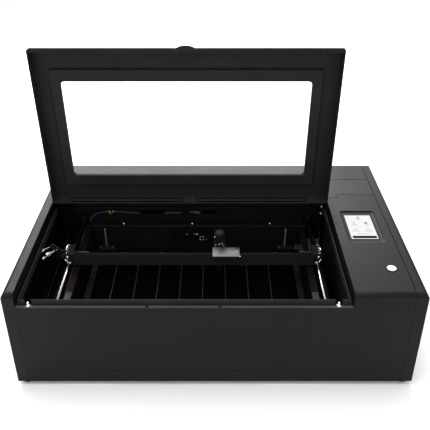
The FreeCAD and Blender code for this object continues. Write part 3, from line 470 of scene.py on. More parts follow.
def spring_route(at, axis, radius, length, turns, steps=14):
    """Points along a spring, with its end turns closed up."""
    turn = Matrix.Translation(at) @ facing(axis)
    points = []
    for step in range(int(turns * steps) + 1):
        part = step / (turns * steps)
        angle = 2 * math.pi * turns * part
        rise = length * (part - math.sin(2 * math.pi * part) / 16)
        points.append(turn @ Vector((radius * math.cos(angle), radius * math.sin(angle), rise)))
    return points


def add_cap_screw(form, at, axis, radius, height):
    """A round head with a sunk socket."""
    add_lathe(form, [(0, height * 0.4), (radius * 0.5, height * 0.4), (radius * 0.56, height),
                     (radius * 0.86, height), (radius, height * 0.84), (radius, 0), (0, 0)], at, axis, 20)


def add_dome_screw(form, at, axis, radius=3.5, height=2.0):
    """A low domed head with a sunk socket."""
    add_lathe(form, [(0, height * 0.35), (radius * 0.36, height * 0.35), (radius * 0.42, height),
                     (radius * 0.7, height * 0.84), (radius * 0.92, height * 0.45), (radius, 0), (0, 0)],
              at, axis, 20)


def add_thread(form, at, radius, length, pitch, steps=14):
    """An upright threaded rod, with a true helical thread and chamfered ends."""
    slices = int(length / pitch * 4)
    loops = []
    for number in range(slices + 1):
        height = length * number / slices
        chamfer = max(0.0, 1.2 - height, 1.2 - (length - height))
        loop = []
        for step in range(steps):
            phase = (height / pitch - step / steps) % 1.0
            reach = radius - 0.14 * pitch - 0.28 * pitch * abs(2 * phase - 1) - 0.5 * chamfer
            angle = 2 * math.pi * step / steps
            loop.append(Vector(at) + Vector((reach * math.cos(angle), reach * math.sin(angle), height)))
        loops.append(loop)
    add_skin(form, loops, close_ends=True)


def belt_points(low, high, height, radius, pitch):
    """Points round two pulleys, one for each quarter of a tooth, each with its outward direction."""
    straight = high - low
    around = math.pi * radius
    total = 2 * straight + 2 * around
    teeth = int(total / pitch)
    for number in range(teeth * 4):
        reach = total * number / (teeth * 4)
        if reach < straight:
            yield number, low + reach, height - radius, 0.0, -1.0
            continue
        if straight + around <= reach < 2 * straight + around:
            yield number, high - (reach - straight - around), height + radius, 0.0, 1.0
            continue
        if reach < straight + around:
            centre, angle = high, (reach - straight) / radius - math.pi / 2
        else:
            centre, angle = low, (reach - 2 * straight - around) / radius + math.pi / 2
        out_along, out_up = math.cos(angle), math.sin(angle)
        yield number, centre + radius * out_along, height + radius * out_up, out_along, out_up


def add_belt(form, axis, start, width, low, high, height, radius, thickness, pitch):
    """A toothed belt round two pulleys; axis is the direction of its width."""
    loops = [[], [], [], []]
    for number, along, up, out_along, out_up in belt_points(low, high, height, radius, pitch):
        tooth = 0.0 if number % 4 < 2 else 0.75
        for loop, depth, edge in ((0, tooth, 0), (1, thickness, 0), (2, thickness, width), (3, tooth, width)):
            spot = (along + out_along * depth, up + out_up * depth)
            place = (start + edge, *spot) if axis == "x" else (spot[0], start + edge, spot[1])
            loops[loop].append(Vector(place))
    add_skin(form, [*loops, loops[0]])
    bmesh.ops.remove_doubles(form, verts=form.verts, dist=1e-4)


def ring(inner, outer, low, high):
    """The closed profile of a plain ring."""
    return [(inner, low), (outer, low), (outer, high), (inner, high), (inner, low)]


def pulley(bore, tread, rim):
    """The closed profile of a flanged belt wheel."""
    return [(bore, -4), (rim, -4), (rim, -3.2), (tread, -3.1), (tread, 3.1), (rim, 3.2), (rim, 4), (bore, 4),
            (bore, -4)]


def blocks(name, material, body, corners, bevel=0.4, segments=2, turn=None):
    """Rounded boxes, each between its two corners, as one piece."""
    form = bmesh.new()
    for low, high in corners:
        add_block(form, low, high, bevel, segments)
    if turn is not None:
        form.transform(turn)
    piece(name, form, material, body)


def turned(name, material, body, profile, spots, axis=UP, instead_of=(), **cut):
    """One profile turned at each spot, as one piece."""
    form = bmesh.new()
    for spot in spots:
        add_lathe(form, profile, spot, axis, **cut)
    piece(name, form, material, body, instead_of)


def screws(name, material, body, add_screw, spots, axis, radius, height, turn=None):
    """Screw heads of one size at each spot, as one piece."""
    form = bmesh.new()
    for spot in spots:
        add_screw(form, spot, axis, radius, height)
    if turn is not None:
        form.transform(turn)
    piece(name, form, material, body)


def coat_node(node, material, edge=0.0):
    """Gives a CAD node its finish and, where it has one, its softened edge."""
    thing = frame["nodes"][node]
    thing.data.materials.clear()
    thing.data.materials.append(made[material])
    if edge:
        weld = thing.modifiers.new("weld", "WELD")
        weld.merge_threshold = 1e-5
        bevel = thing.modifiers.new("edge", "BEVEL")
        bevel.width = edge * MM
        bevel.segments = 2
        bevel.limit_method = "ANGLE"
        bevel.angle_limit = math.radians(40)


class Builder:
    """What every piece's operator shares."""
    bl_options = {"REGISTER", "UNDO"}

    def execute(self, context):
        self.build(context.scene)
        return {"FINISHED"}


# ---------------------------------------------------------------- pieces

class LASERCUTTER_OT_materials(Builder, Operator):
    """Make every finish of the machine"""
    bl_idname = "lasercutter.materials"
    bl_label = "Finishes"

    def build(self, scene):
        make_materials(scene.cutter_finishes)


class LASERCUTTER_OT_casing(Builder, Operator):
    """Finish the folded steel casing, deck, gutter and feet"""
    bl_idname = "lasercutter.casing"
    bl_label = "Casing"

    def build(self, scene):
        for node in ("front_panel", "left_end_cap", "right_end_cap", "console_cover", "rear_deck",
                     "rear_tube_cover", "rear_panel", "crumb_tray"):
            coat_node(node, "black_coat", 0.35)
        # The gutter takes the lighter coat: painted light on its shaded floor.
        coat_node("opening_gutter", "painted_light_coat", 0.35)
        coat_node("base_pan", "chamber_coat", 0.3)
        # A thin light strip along the front panel's top edge: a painted highlight of its fold.
        blocks("front_edge_highlight", "sill_highlight_coat", "root",
               [((LEDGE_LEFT, LEDGE_FRONT, 233.8), (LEDGE_RIGHT, -317.2, 234.2))], 0.15, 1)
        turned("ribbed_feet", "foot_rubber", "root",
               [(0, 3), (3.4, 3), (3.4, 0.5), (8.6, 0), (9.8, 0.7), (10.4, 2.2), (9.6, 10.6), (9.0, 12.0),
                (0, 12.0)],
               [(across, along, 0) for across in (-447, 447) for along in (-308, 283)],
               instead_of=("rubber_feet",))
        screws("rear_screws", "zinc_steel", "root", add_dome_screw,
               [(across, 301.0, up) for across in (-425, -215, 215, 425) for up in (128, 24, 154)],
               BACKWARD, 3.5, 2.0)
        turned("catch_studs", "plated_chrome", "root",
               [(0, 0), (5.8, 0), (5.8, 1.8), (5.0, 3.0), (3.2, 3.8), (2.4, 4.8), (2.2, 7.4), (1.6, 8.6),
                (0, 8.8)],
               [(across, -318, LEDGE_TOP) for across in (-410, 272)], instead_of=("lid_studs",))
        turned("lid_buffers", "foot_rubber", "root", [(0, 0), (4, 0), (3.9, 0.35), (3.3, 0.62), (0, 0.7)],
               [(across, -321.8, LEDGE_TOP) for across in (-149, 11)], instead_of=("lid_bumpers",))


class LASERCUTTER_OT_console(Builder, Operator):
    """Build the touchscreen in its recess and the round push button"""
    bl_idname = "lasercutter.console"
    bl_label = "Console"

    def build(self, scene):
        coat_node("display_bezel", "black_coat", 0.3)
        self.recess()
        low, high = span("display_glass")
        layer = 0.06
        form = bmesh.new()
        add_prism(form, round_outline(low, high, 2.0), low.z, high.z, bevel=0.35)
        piece("screen_glass", form, "black_plastic", "root", ("display_glass",))
        form = bmesh.new()
        picture = round_outline((low.x + 1, low.y + 1), (high.x - 1, high.y - 1), 1.4)
        add_prism(form, picture, high.z, high.z + layer)
        piece("screen_picture", form, "screen_white", "root")
        self.symbols(high.z + layer, high.z + 2 * layer)
        place = middle("power_button")
        turned("button_ring", "fitting_anodised", "root",
               [(9.5, -28), (11.2, -28), (11.2, 0.05), (12.5, 0.1), (12.5, 0.8), (12.1, 1.2), (11.3, 1.2),
                (10.95, 0.9), (10.95, -5.6), (9.5, -5.6), (9.5, -28)],
               [(place.x, place.y, COVER_TOP)], instead_of=("button_collar",))
        turned("button_cap", "soft_white", "button",
               [(0, -18.5), (8.6, -18.5), (9.3, -17.8), (9.3, 0), (10.5, 0), (10.7, 0.3), (10.7, 1.5),
                (10.2, 2.2), (8.6, 2.7), (4, 2.95), (0, 3.0)],
               [(place.x, place.y, COVER_TOP)], instead_of=("power_button",))
        self.seams()

    @staticmethod
    def recess():
        """The dished recess that leads down to the screen, steeper at the rear and right."""
        loops = []
        for part in range(9):
            sunk = part / 8
            fall = 3 * sunk * sunk - 2 * sunk ** 3
            low = (327.1 + 5.4 * sunk, -122.9 + 14 * sunk)
            high = (415.9 - 1.6 * sunk, 27.9 - 1.4 * sunk)
            loops.append([Vector((across, along, 269.6 - 2.45 * fall))
                          for across, along in round_outline(low, high, 10 - sunk, 10)])
        loops.append([Vector((across, along, 267.15))
                      for across, along in round_outline((332.6, -108.8), (406.6, 13.8), 3, 10)])
        form = bmesh.new()
        add_skin(form, [[point - Vector((0, 0, 2.3)) for point in loops[0]], *loops])
        piece("screen_recess", form, "black_coat", "root", angle=60)

    @staticmethod
    def symbols(low, high):
        """Plain patches for the screen's symbols and labels: middle across, middle along, width, height."""
        symbols = {
            "icon_orange": [(370, -4, 8, 7)],
            "icon_yellow": [(385.3, -58, 6.6, 6.6)],
            "icon_violet": [(354.6, -30, 5.4, 5.4), (354.5, -58, 5.0, 5.4)],
            "icon_black": [(385.2, -30, 7.4, 6), (370, -95.5, 60, 10.2)],
            "icon_grey": [(370, -12, 11, 1.3), (354.9, -39, 16, 1.5), (386.5, -40, 9, 1.5),
                          (354.2, -67.6, 19, 1.5), (385.3, -67.6, 19, 1.5), (371, -81, 32, 1.0)]}
        for icon, spots in symbols.items():
            form = bmesh.new()
            for across, along, wide, tall in spots:
                outline = round_outline((across - wide / 2, along - tall / 2),
                                        (across + wide / 2, along + tall / 2), min(0.48 * tall, 3.2))
                add_prism(form, outline, low, high)
            piece(icon.replace("icon", "symbols"), form, icon, "root")

    @staticmethod
    def seams():
        """Black strips along the seams between the cover sheets: painted shade in their gaps."""
        left, notch_x, notch_y, rear_y = 304.5, 332.6, 95.2, 114.2
        cover_y = span("rear_tube_cover")[0].y - 0.2
        half = 0.8
        strips = (((END_SEAM_X - half, -310), (END_SEAM_X + half, 284)),
                  ((-END_SEAM_X - half, -302), (-END_SEAM_X + half, 284)),
                  ((left, notch_y - half), (notch_x + half, notch_y + half)),
                  ((notch_x - half, notch_y - half), (notch_x + half, rear_y + half)),
                  ((notch_x - half, rear_y - half), (END_SEAM_X + half, rear_y + half)),
                  ((-END_SEAM_X, cover_y - half), (END_SEAM_X, cover_y + half)))
        blocks("seam_shade_strips", "flat_black_and_painted_shade", "root",
               [((*low, 269.5), (*high, 270.06)) for low, high in strips], 0)


class LASERCUTTER_OT_lid(Builder, Operator):
    """Finish the lid, its window and its hinges"""
    bl_idname = "lasercutter.lid"
    bl_label = "Lid"

    def build(self, scene):
        # The lid's shell, hinge leaves, stiffeners and window frame take the lighter coat: painted light on the
        # open lid's inner face.
        coat_node("lid_shell", "painted_light_coat", 0.35)
        coat_node("lid_window", "window_sheet")
        coat_node("lid_hinge_leaves", "painted_light_coat", 0.3)
        coat_node("hinge_brackets", "chamber_coat", 0.3)
        # The lid's pieces are drawn lying closed, then turned open about its hinge.
        joint = [joint for joint in frame["joints"] if joint["name"] == "lid_hinge"][0]
        pivot = Matrix.Translation(Vector(joint["pos_m"]) / MM)
        opened = pivot @ Matrix.Rotation(-math.radians(joint["range_deg"][1]), 4, "X") @ pivot.inverted()
        self.window_frame(opened)
        self.front(opened)
        blocks("rear_stiffeners", "painted_light_coat", "lid",
               [((low, 94.0, 243.0), (high, 95.1, 255.5)) for low, high in ((-386, -90), (-48, 242))],
               0.5, turn=opened)
        seals = []
        for low, high in ((-388, -88), (-50, 244)):
            seals += [((low, 93.8, up), (high, 95.1, up + 3.0)) for up in (239.8, 255.6)]
            seals += [((across, 93.8, 239.8), (across + 2.0, 95.1, 258.6)) for across in (low, high - 2.0)]
        blocks("stiffener_seals", "flat_black_and_painted_shade", "lid", seals, 0.2, 1, opened)
        screws("retainer_screws", "motor_plate", "lid", add_dome_screw,
               [(across, -107, 261.6) for across in (-385.0, 247.0)], (0, 0, -1), 2.6, 1.2, opened)
        screws("hinge_screws", "black_anodised", "lid", add_dome_screw,
               [(across + side, 92.8, 250) for across in HINGES for side in (-14.5, 14.5)],
               (0, -1, 0), 2.4, 1.4, opened)
        form = bmesh.new()
        for across in HINGES:
            for side in (-1, 1):
                add_lathe(form, [(0, 0), (1.9, 0), (1.9, 0.8), (1.3, 1.2), (0, 1.3)],
                          (across + side * 18.0, 101, 265.8), (side, 0, 0), 20)
        piece("hinge_pin_ends", form, "plated_chrome", "root")
        rails = ((-386, -90), (-48, 241))
        blocks("hinge_rail", "black_anodised", "root",
               [((low, 104.2, 228.5), (high, 106.4, 262)) for low, high in rails], 0.5)
        # Black patches for the rail's slots: painted shade inside them.
        blocks("hinge_rail_slot_shade", "flat_black_and_painted_shade", "root",
               [((low + 3, 103.9, up), (high - 3, 104.5, up + 2.2))
                for low, high in rails for up in (238.5, 253.0)], 0.1, 1)

    @staticmethod
    def window_frame(opened):
        """The frame that holds the clear sheet, and the black seal round it."""
        outer = round_outline((-398.5, -270.5), (260.0, 53.5), 4, 10)
        inner = round_outline((-375.0, -241.0), (236.5, 24.0), 10, 10)
        centre_x, centre_y = -69.25, -108.5
        seat, chamfer, face = 264.7, 262.0, 261.6
        loops = []
        for outline, inset, height in (
                (inner, 0, seat), (inner, 0, chamfer), (inner, 1, face), (outer, -1, face),
                (outer, 0, chamfer), (outer, 0, seat), (inner, 0, seat)):
            loops.append([Vector((across + math.copysign(inset * 0.5, across - centre_x),
                                  along + math.copysign(inset * 0.5, along - centre_y), height))
                          for across, along in outline])
        seal = []
        for out, height in ((0, seat), (0.8, seat), (0.8, 261.8), (0, face), (0, seat)):
            outline = round_outline((-399.0 - out, -271.0 - out), (260.5 + out, 54.0 + out), 4 + out, 10)
            seal.append([Vector((*spot, height)) for spot in outline])
        for name, skin, material, instead_of in (("window_frame", loops, "painted_light_coat", ("window_retainer",)),
                                                 ("window_seal", seal, "flat_black_and_painted_shade", ())):
            form = bmesh.new()
            add_skin(form, skin)
            bmesh.ops.remove_doubles(form, verts=form.verts, dist=1e-4)
            form.transform(opened)
            piece(name, form, material, "lid", instead_of)

    @staticmethod
    def front(opened):
        """The folded hem along the lid's front, its two ears and the pull tab."""
        hem_back = -325.95
        hem = [((-436.6, -326.7, 235.2), (302.6, hem_back, 258))]
        hem += [((low, -328.4, 235.0), (high, hem_back, 247))
                for low, high in ((LEDGE_LEFT, -429), (295, LEDGE_RIGHT))]
        # The hem takes the lighter coat: painted light on its upturned face.
        blocks("lid_hem", "painted_light_hem_coat", "lid", hem, 0.8, turn=opened)
        form = bmesh.new()
        tab_x, half, tab_back, steps = -68, 27, -321.9, 32
        arc = [(tab_x + half * math.cos(angle), -325.0 - 15.6 * math.sin(angle))
               for angle in (math.pi * step / steps for step in range(steps + 1))]
        add_prism(form, [*arc, (tab_x - half, tab_back), (tab_x + half, tab_back)], 235.3, 237.6, bevel=0.5)
        add_block(form, (tab_x - 21, -323.7, 235.5), (tab_x + 21, tab_back, 251.3), 0.4)
        form.transform(opened)
        piece("pull_tab", form, "black_plastic", "lid", ("lid_pull_tab",))


class LASERCUTTER_OT_bed(Builder, Operator):
    """Build the honeycomb with its slats, the drilled frame, its nuts and threaded rods"""
    bl_idname = "lasercutter.bed"
    bl_label = "Bed"

    def build(self, scene):
        sizes = scene.cutter_sizes
        low, high = span("honeycomb_panel")
        self.comb(low, high, sizes.cell_across / MM, sizes.foil / MM)
        first, step, half = -268, 59, 1.5
        blocks("bed_slats", "slat_steel", "bed",
               [((across - half, low.y + 0.2, 106.4), (across + half, high.y - 0.2, 108.0))
                for across in (first + step * number for number in range(8))], 0.3)
        coat_node("bed_frame", "black_anodised", 0.4)
        turned("knurled_nuts", "plated_chrome", "bed",
               [(4.4, 3.2), (8.6, 3.2), (9.6, 4.2), (9.6, 8.6), (9.6, 12.4), (8.4, 14.0), (5.0, 14.3),
                (4.4, 13.6), (4.4, 3.2)],
               [(*spot, 108) for spot in BED_RODS], steps=96, lobes=24, depth=0.7)
        screws("nut_plate_screws", "zinc_steel", "bed", add_cap_screw,
               [(across + side, along, 111) for across, along in BED_RODS for side in (-16.5, 16.5)],
               UP, 2.6, 2.6)
        form = bmesh.new()
        for across, along in BED_RODS:
            add_thread(form, (across, along, 14.2), 4.0, 160 if along > 0 else 140, sizes.thread_pitch / MM)
        piece("threaded_rods", form, "zinc_steel", "root", ("bed_rods",))

    def comb(self, low, high, across, foil):
        """Hexagonal cells of folded foil: rims above and below, joined by the cell walls."""
        top, bottom = 106.4, 103.0
        side = across / math.sqrt(3)
        inside = side - foil * 1.155
        levels = ((side, bottom), (inside, bottom), (inside, top), (side, top))
        columns = int((high.x - low.x) / across)
        rows = int((high.y - low.y - 0.5 * side) / (1.5 * side))
        start_x = (low.x + high.x - (columns - 0.5) * across) / 2
        start_y = (low.y + high.y - (rows - 1) * 1.5 * side) / 2
        points, faces, known = [], [], {}

        def corner(key, place):
            if key not in known:
                known[key] = len(points)
                points.append([part * MM for part in place])
            return known[key]

        for row in range(rows):
            for column in range(columns):
                centre_x = start_x + (column + 0.5 * (row % 2)) * across
                centre_y = start_y + row * 1.5 * side
                rims = [[], [], [], []]
                for step in range(6):
                    angle = math.radians(60 * step + 30)
                    for rim, (reach, height) in enumerate(levels):
                        spot = (centre_x + reach * math.cos(angle), centre_y + reach * math.sin(angle), height)
                        # Neighbouring cells share the corners of their outer rims.
                        shared = tuple(round(part * 20) for part in spot)
                        rims[rim].append(corner(shared if rim in (0, 3) else (row, column, step, rim), spot))
                for first, second in ((0, 1), (1, 2), (2, 3)):
                    for step in range(6):
                        following = (step + 1) % 6
                        faces.append((rims[first][step], rims[second][step], rims[second][following],
                                      rims[first][following]))
        mesh = bpy.data.meshes.new("honeycomb")
        mesh.from_pydata(points, [], faces)
        mesh.materials.append(made["comb_foil"])
        thing = bpy.data.objects.new("honeycomb", mesh)
        bpy.context.scene.collection.objects.link(thing)
        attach(thing, "bed")
        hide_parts("honeycomb_panel")


def add_motor(form_body, form_plate, low, high, axis):
    """A square motor: black laminations between bright end plates with cut corners."""
    along = {"x": 0, "y": 1}[axis]
    length = high[along] - low[along]
    half = (high[2] - low[2]) / 2
    start = (Vector(low) + Vector(high)) / 2
    start[along] = low[along]
    lying = {"x": ((0, 0, 1, 0), (0, 1, 0, 0), (-1, 0, 0, 0), (0, 0, 0, 1)),
             "y": ((1, 0, 0, 0), (0, 0, 1, 0), (0, -1, 0, 0), (0, 0, 0, 1))}
    turn = Matrix.Translation(start) @ Matrix(lying[axis])
    inner = half - 0.8
    cornered = [(half - 4, half), (half, half - 4), (half, 4 - half), (half - 4, -half), (4 - half, -half),
                (-half, 4 - half), (-half, half - 4), (4 - half, half)]
    stacked = [(across * inner / half, up * inner / half) for across, up in cornered]
    add_prism(form_body, stacked, 6.2, length - 8.2, turn, 0.4)
    add_prism(form_plate, cornered, 0, 6, turn, 0.5)
    add_prism(form_plate, cornered, length - 8, length, turn, 0.5)


class LASERCUTTER_OT_drive(Builder, Operator):
    """Build the side beams, guide rods, toothed belts, pulleys and drive motor"""
    bl_idname = "lasercutter.drive"
    bl_label = "Drive"

    def build(self, scene):
        pitch = scene.cutter_sizes.tooth_pitch / MM
        coat_node("y_rail_beams", "side_anodised", 0.4)
        coat_node("y_rods", "guide_chrome", 0.5)
        coat_node("y_rod_supports", "black_anodised", 0.4)
        # The side rails' flat tops, drawn lighter and stopped where the beam's shadow falls: painted light.
        blocks("rail_lit_strips", "rail_anodised", "root",
               [((low, -313, 175.0), (high, -196, 175.9))
                for low, high in ((-359.5, -344.0), (233.0, 248.5))], 0.25)
        screws("frame_screws", "zinc_steel", "root", add_cap_screw,
               [(across + side, along, up) for across in GUIDE_RODS
                for along, up in ((-307.5, 193.2), (127.5, 192.6)) for side in (-3.4, 3.4)], UP, 1.9, 1.8)
        for wire, start, end in (("wire_red", -190, 34), ("wire_yellow", 26, 90)):
            form = bmesh.new()
            add_wire(form, smooth_route([(-360.85, along, 175.6 + 0.4 * math.sin(0.07 * along))
                                         for along in range(start, end, 12)], 4), 0.5, 8)
            piece("side_" + wire, form, wire, "root")
        form = bmesh.new()
        for start in (-385.0, 268.0):
            add_belt(form, "x", start, 6.0, IDLER_Y, SHAFT_Y, SHAFT_Z, 6.5, 1.4, pitch)
        piece("side_belts", form, "belt_rubber", "root", ("y_belts",))
        turned("idler_wheels", "turned_aluminium", "y_idlers", pulley(2.1, 6.35, 6.9),
               [(across, IDLER_Y, SHAFT_Z) for across in BELT_WHEELS], SIDEWAYS, ("y_idler_pulleys",))
        form = bmesh.new()
        add_lathe(form, [(0, -387), (3.5, -387), (4, -386.4), (4, -378), (4, -180), (4, 268), (4, 275.4),
                         (3.5, 276), (0, 276)], (0, SHAFT_Y, SHAFT_Z), SIDEWAYS)
        for across in BELT_WHEELS:
            add_lathe(form, pulley(3.9, 6.3, 6.8), (across, SHAFT_Y, SHAFT_Z), SIDEWAYS, steps=60)
        piece("cross_shaft", form, "guide_chrome", "y_shaft", ("y_drive_shaft",))
        stack, plates = bmesh.new(), bmesh.new()
        foot_left = span("y_motor")[0].x
        add_motor(stack, plates, (100, 115, 146), (140, 143, 174), "x")
        add_block(stack, (foot_left, 115.2, 14.2), (foot_left + 2.8, 142.8, 174), 0.5)
        piece("drive_motor_stack", stack, "motor_black", "root", ("y_motor",))
        piece("drive_motor_plates", plates, "motor_plate", "root")


class LASERCUTTER_OT_gantry(Builder, Operator):
    """Build the cross beam, its rail, belt, pulleys, motor and the second mirror"""
    bl_idname = "lasercutter.gantry"
    bl_label = "Gantry"

    def build(self, scene):
        coat_node("x_beam", "beam_anodised", 0.6)
        coat_node("x_rail", "zinc_steel", 0.4)
        coat_node("gantry_end_brackets", "black_anodised", 0.8)
        form = bmesh.new()
        first, step, tooth, foot = -318.0, 5.1, 3.2, 210.6
        for number in range(104):
            across = first + step * number
            add_block(form, (across, -78.0, foot), (across + tooth, -68.4, 213.6), 0.3, 1)
        add_block(form, (-320, -78.4, foot), (214, -68.2, 212.6), 0.2, 1)
        piece("toothed_strip", form, "flat_black_and_painted_shade", "gantry")
        blocks("beam_cover", "side_anodised", "gantry",
               [((-359.8, -88.8, 210.5), (248.8, -78.6, 211.0))], 0.2, 1)
        screws("beam_screws", "motor_plate", "gantry", add_cap_screw,
               [(across, -84, 210.9) for across in (-333, -236, -138, -40, 153, 238)], UP, 2.4, 2.0)
        self.bearings()
        centre = (CROSS_BELT_Y, CROSS_BELT_Z)
        pitch = scene.cutter_sizes.tooth_pitch / MM
        form = bmesh.new()
        add_belt(form, "y", -75.2, 6.0, -340.0, 217.4, CROSS_BELT_Z, 6.5, 1.4, pitch)
        piece("cross_belt", form, "belt_rubber", "gantry", ("x_belt",))
        knurl = {"steps": 80, "lobes": 20, "depth": 0.5}
        turned("cross_idler", "turned_aluminium", "x_idler",
               ring(2.1, 6.4, -3.5, 3.4),
               [(-340, *centre)], BACKWARD, ("x_idler_pulley",), **knurl)
        turned("cross_pulley", "turned_aluminium", "x_pulley",
               [(0, -3.5), (6.4, -3.5), (6.4, 4.4), (2.5, 4.5), (2.5, 14.6), (2.0, 15.0), (0, 15.0)],
               [(217.4, *centre)], BACKWARD, ("x_drive_pulley",), **knurl)
        stack, plates = bmesh.new(), bmesh.new()
        add_motor(stack, plates, (203.4, -66, 172.5), (231.4, -26, 200.5), "y")
        add_block(stack, (219.4, -75.8, 172.6), (231.3, -64.8, 177.9), 0.5)
        piece("head_motor_stack", stack, "motor_black", "gantry", ("x_motor",))
        piece("head_motor_plates", plates, "motor_plate", "gantry")
        self.mirror("gantry_mirror", "gantry", Vector((MIRROR_X, HEAD_Y, RAY_Z)), 135, "gantry_mirror_mount")

    @staticmethod
    def bearings():
        """The bright bearings, screws and bent straps at both ends of the beam."""
        form = bmesh.new()
        for across, outward in zip(GUIDE_RODS, (-1, 1)):
            add_lathe(form, [(4.3, -3.2), (6.6, -3.2), (7.6, -2.4), (8.6, -0.8), (8.6, 0.2), (4.3, 0.2),
                             (4.3, -3.2)], (across, -85.1, 180.7), BACKWARD)
            add_lathe(form, [(0, 0), (4.6, 0), (4.6, 4.6), (3.6, 5.8), (0, 6.2)],
                      (across + outward * 3, -84, 200), (0, -1, 0.4), 24)
            for along in (-82, -72, -60, -47):
                add_cap_screw(form, (across + outward * 4.5, along, 210.1), UP, 2.3, 2.4)
            strap = [(across + outward * out, along, up) for out, along, up in (
                (7, -46, 212.4), (8.6, -60, 211.6), (9.4, -72, 204), (8.8, -86, 196), (4, -89.4, 189),
                (2, -88.6, 186))]
            add_wire(form, smooth_route(strap), 1.9, 10)
        piece("bearing_fittings", form, "plated_chrome", "gantry")

    @staticmethod
    def mirror(name, body, spot, degrees, node):
        """Dresses a mirror mount with its front plate, ring, three sprung screws and knurled heads."""
        coat_node(node, "black_anodised", 0.6)
        turn = Matrix.Translation(spot) @ Matrix.Rotation(math.radians(degrees), 4, "Z")
        centre = (0, 0, 0)
        adjusters, springs, plate, coating = bmesh.new(), bmesh.new(), bmesh.new(), bmesh.new()
        add_block(plate, (-17, 11.5, -17), (17, 15, 17), 0.8)
        add_lathe(plate, ring(10.2, 12.9, -0.6, 3), centre, BACKWARD)
        add_lathe(coating, [(0, -0.3), (10.0, -0.3), (10.0, 0.4), (0, 0.4)], centre, BACKWARD)
        for across, up in ((-12, 12), (12, 12), (12, -12)):
            add_lathe(adjusters, [(0, 7.1), (1.5, 7.1), (1.5, 31), (3.6, 31.4), (4.0, 32), (4.0, 40), (3.4, 41),
                                  (0, 41)], (across, 0, up), BACKWARD, steps=64, lobes=16, depth=0.5)
            add_wire(springs, spring_route((across, 15.0, up), BACKWARD, 2.9, 15.6, 7), 0.45, 6)
        for form, suffix, material in (
                (adjusters, "screws", "plated_chrome"), (springs, "springs", "plated_chrome"),
                (plate, "plate", "black_anodised"), (coating, "coating", "mirror_coating")):
            form.transform(turn)
            piece(name + "_" + suffix, form, material, body)


class LASERCUTTER_OT_head(Builder, Operator):
    """Build the silver carriage plate, the third mirror and the lens tube with its nozzle"""
    bl_idname = "lasercutter.head"
    bl_label = "Head"

    def build(self, scene):
        low, high = span("carriage_plate")
        form = bmesh.new()
        add_prism(form, round_outline(low, high, 2.5), low.z, high.z, bevel=0.4)
        piece("silver_plate", form, "plate_aluminium", "head", ("carriage_plate",))
        form = bmesh.new()
        add_cap_screw(form, (54, -84, 216.5), UP, 2.0, 1.2)
        add_cap_screw(form, (62.0, -97, 210.5), (1, -0.2, 0), 2.2, 2.0)
        add_block(form, (57, -100, 208), (62.2, -94, 213.9), 0.5)
        piece("plate_screws", form, "plated_chrome", "head")
        coat_node("carriage_block", "black_anodised", 0.6)
        coat_node("head_mirror_mount", "black_anodised", 0.8)
        turned("head_fitting", "fitting_anodised", "head",
               [(8.6, 213.2), (10.6, 213.2), (11.2, 214), (11.2, 218), (10.2, 219.4), (9.2, 220), (9.2, 226),
                (11.0, 228), (13.2, 232), (13.6, 234), (13.6, 246), (13.0, 249), (11.6, 251.4), (9.4, 253),
                (6.5, 254.2), (5.5, 254.2), (5.5, 250), (8.6, 213.2)], [(HEAD_X, HEAD_Y, 0)], steps=48)
        form = bmesh.new()
        for spot in ((0, -53, 240), (10, -56.4, 222), (17, -55.4, 224)):
            add_lathe(form, [(0, 0), (2.6, 0), (2.6, 3.4), (2.0, 4.2), (0, 4.3)], spot, (0, -1, 0.15),
                      steps=32, lobes=8, depth=0.4)
        for across in (2.5, 21):
            add_cap_screw(form, (across, -52, 213.2), UP, 2.4, 2.0)
        piece("head_screws", form, "plated_chrome", "head")
        turned("nozzle", "fitting_anodised", "lens",
               [(1.0, 0), (2.6, 0), (3.0, 0.6), (9.0, 29.5), (9.9, 30.5), (10, 34), (10, 36), (9.4, 36.6),
                (9.4, 37.6), (10, 38.2), (10, 46), (8, 46.2), (8, 70), (6, 70), (6, 24), (1.0, 4), (1.0, 0)],
               [(HEAD_X, HEAD_Y, 114.7)], instead_of=("lens_tube",), steps=60, lobes=30, depth=0.35)
        form = bmesh.new()
        route = smooth_route([(52, -70, 217.3), (57, -67, 218.6), (60, -63.2, 216), (60, -61.5, 211),
                              (56, -61, 206), (48, -60.5, 203.4), (34, -60, 203.6), (29.5, -60, 205)])
        add_wire(form, route, 1.3, 10)
        piece("head_cable", form, "black_plastic", "head")


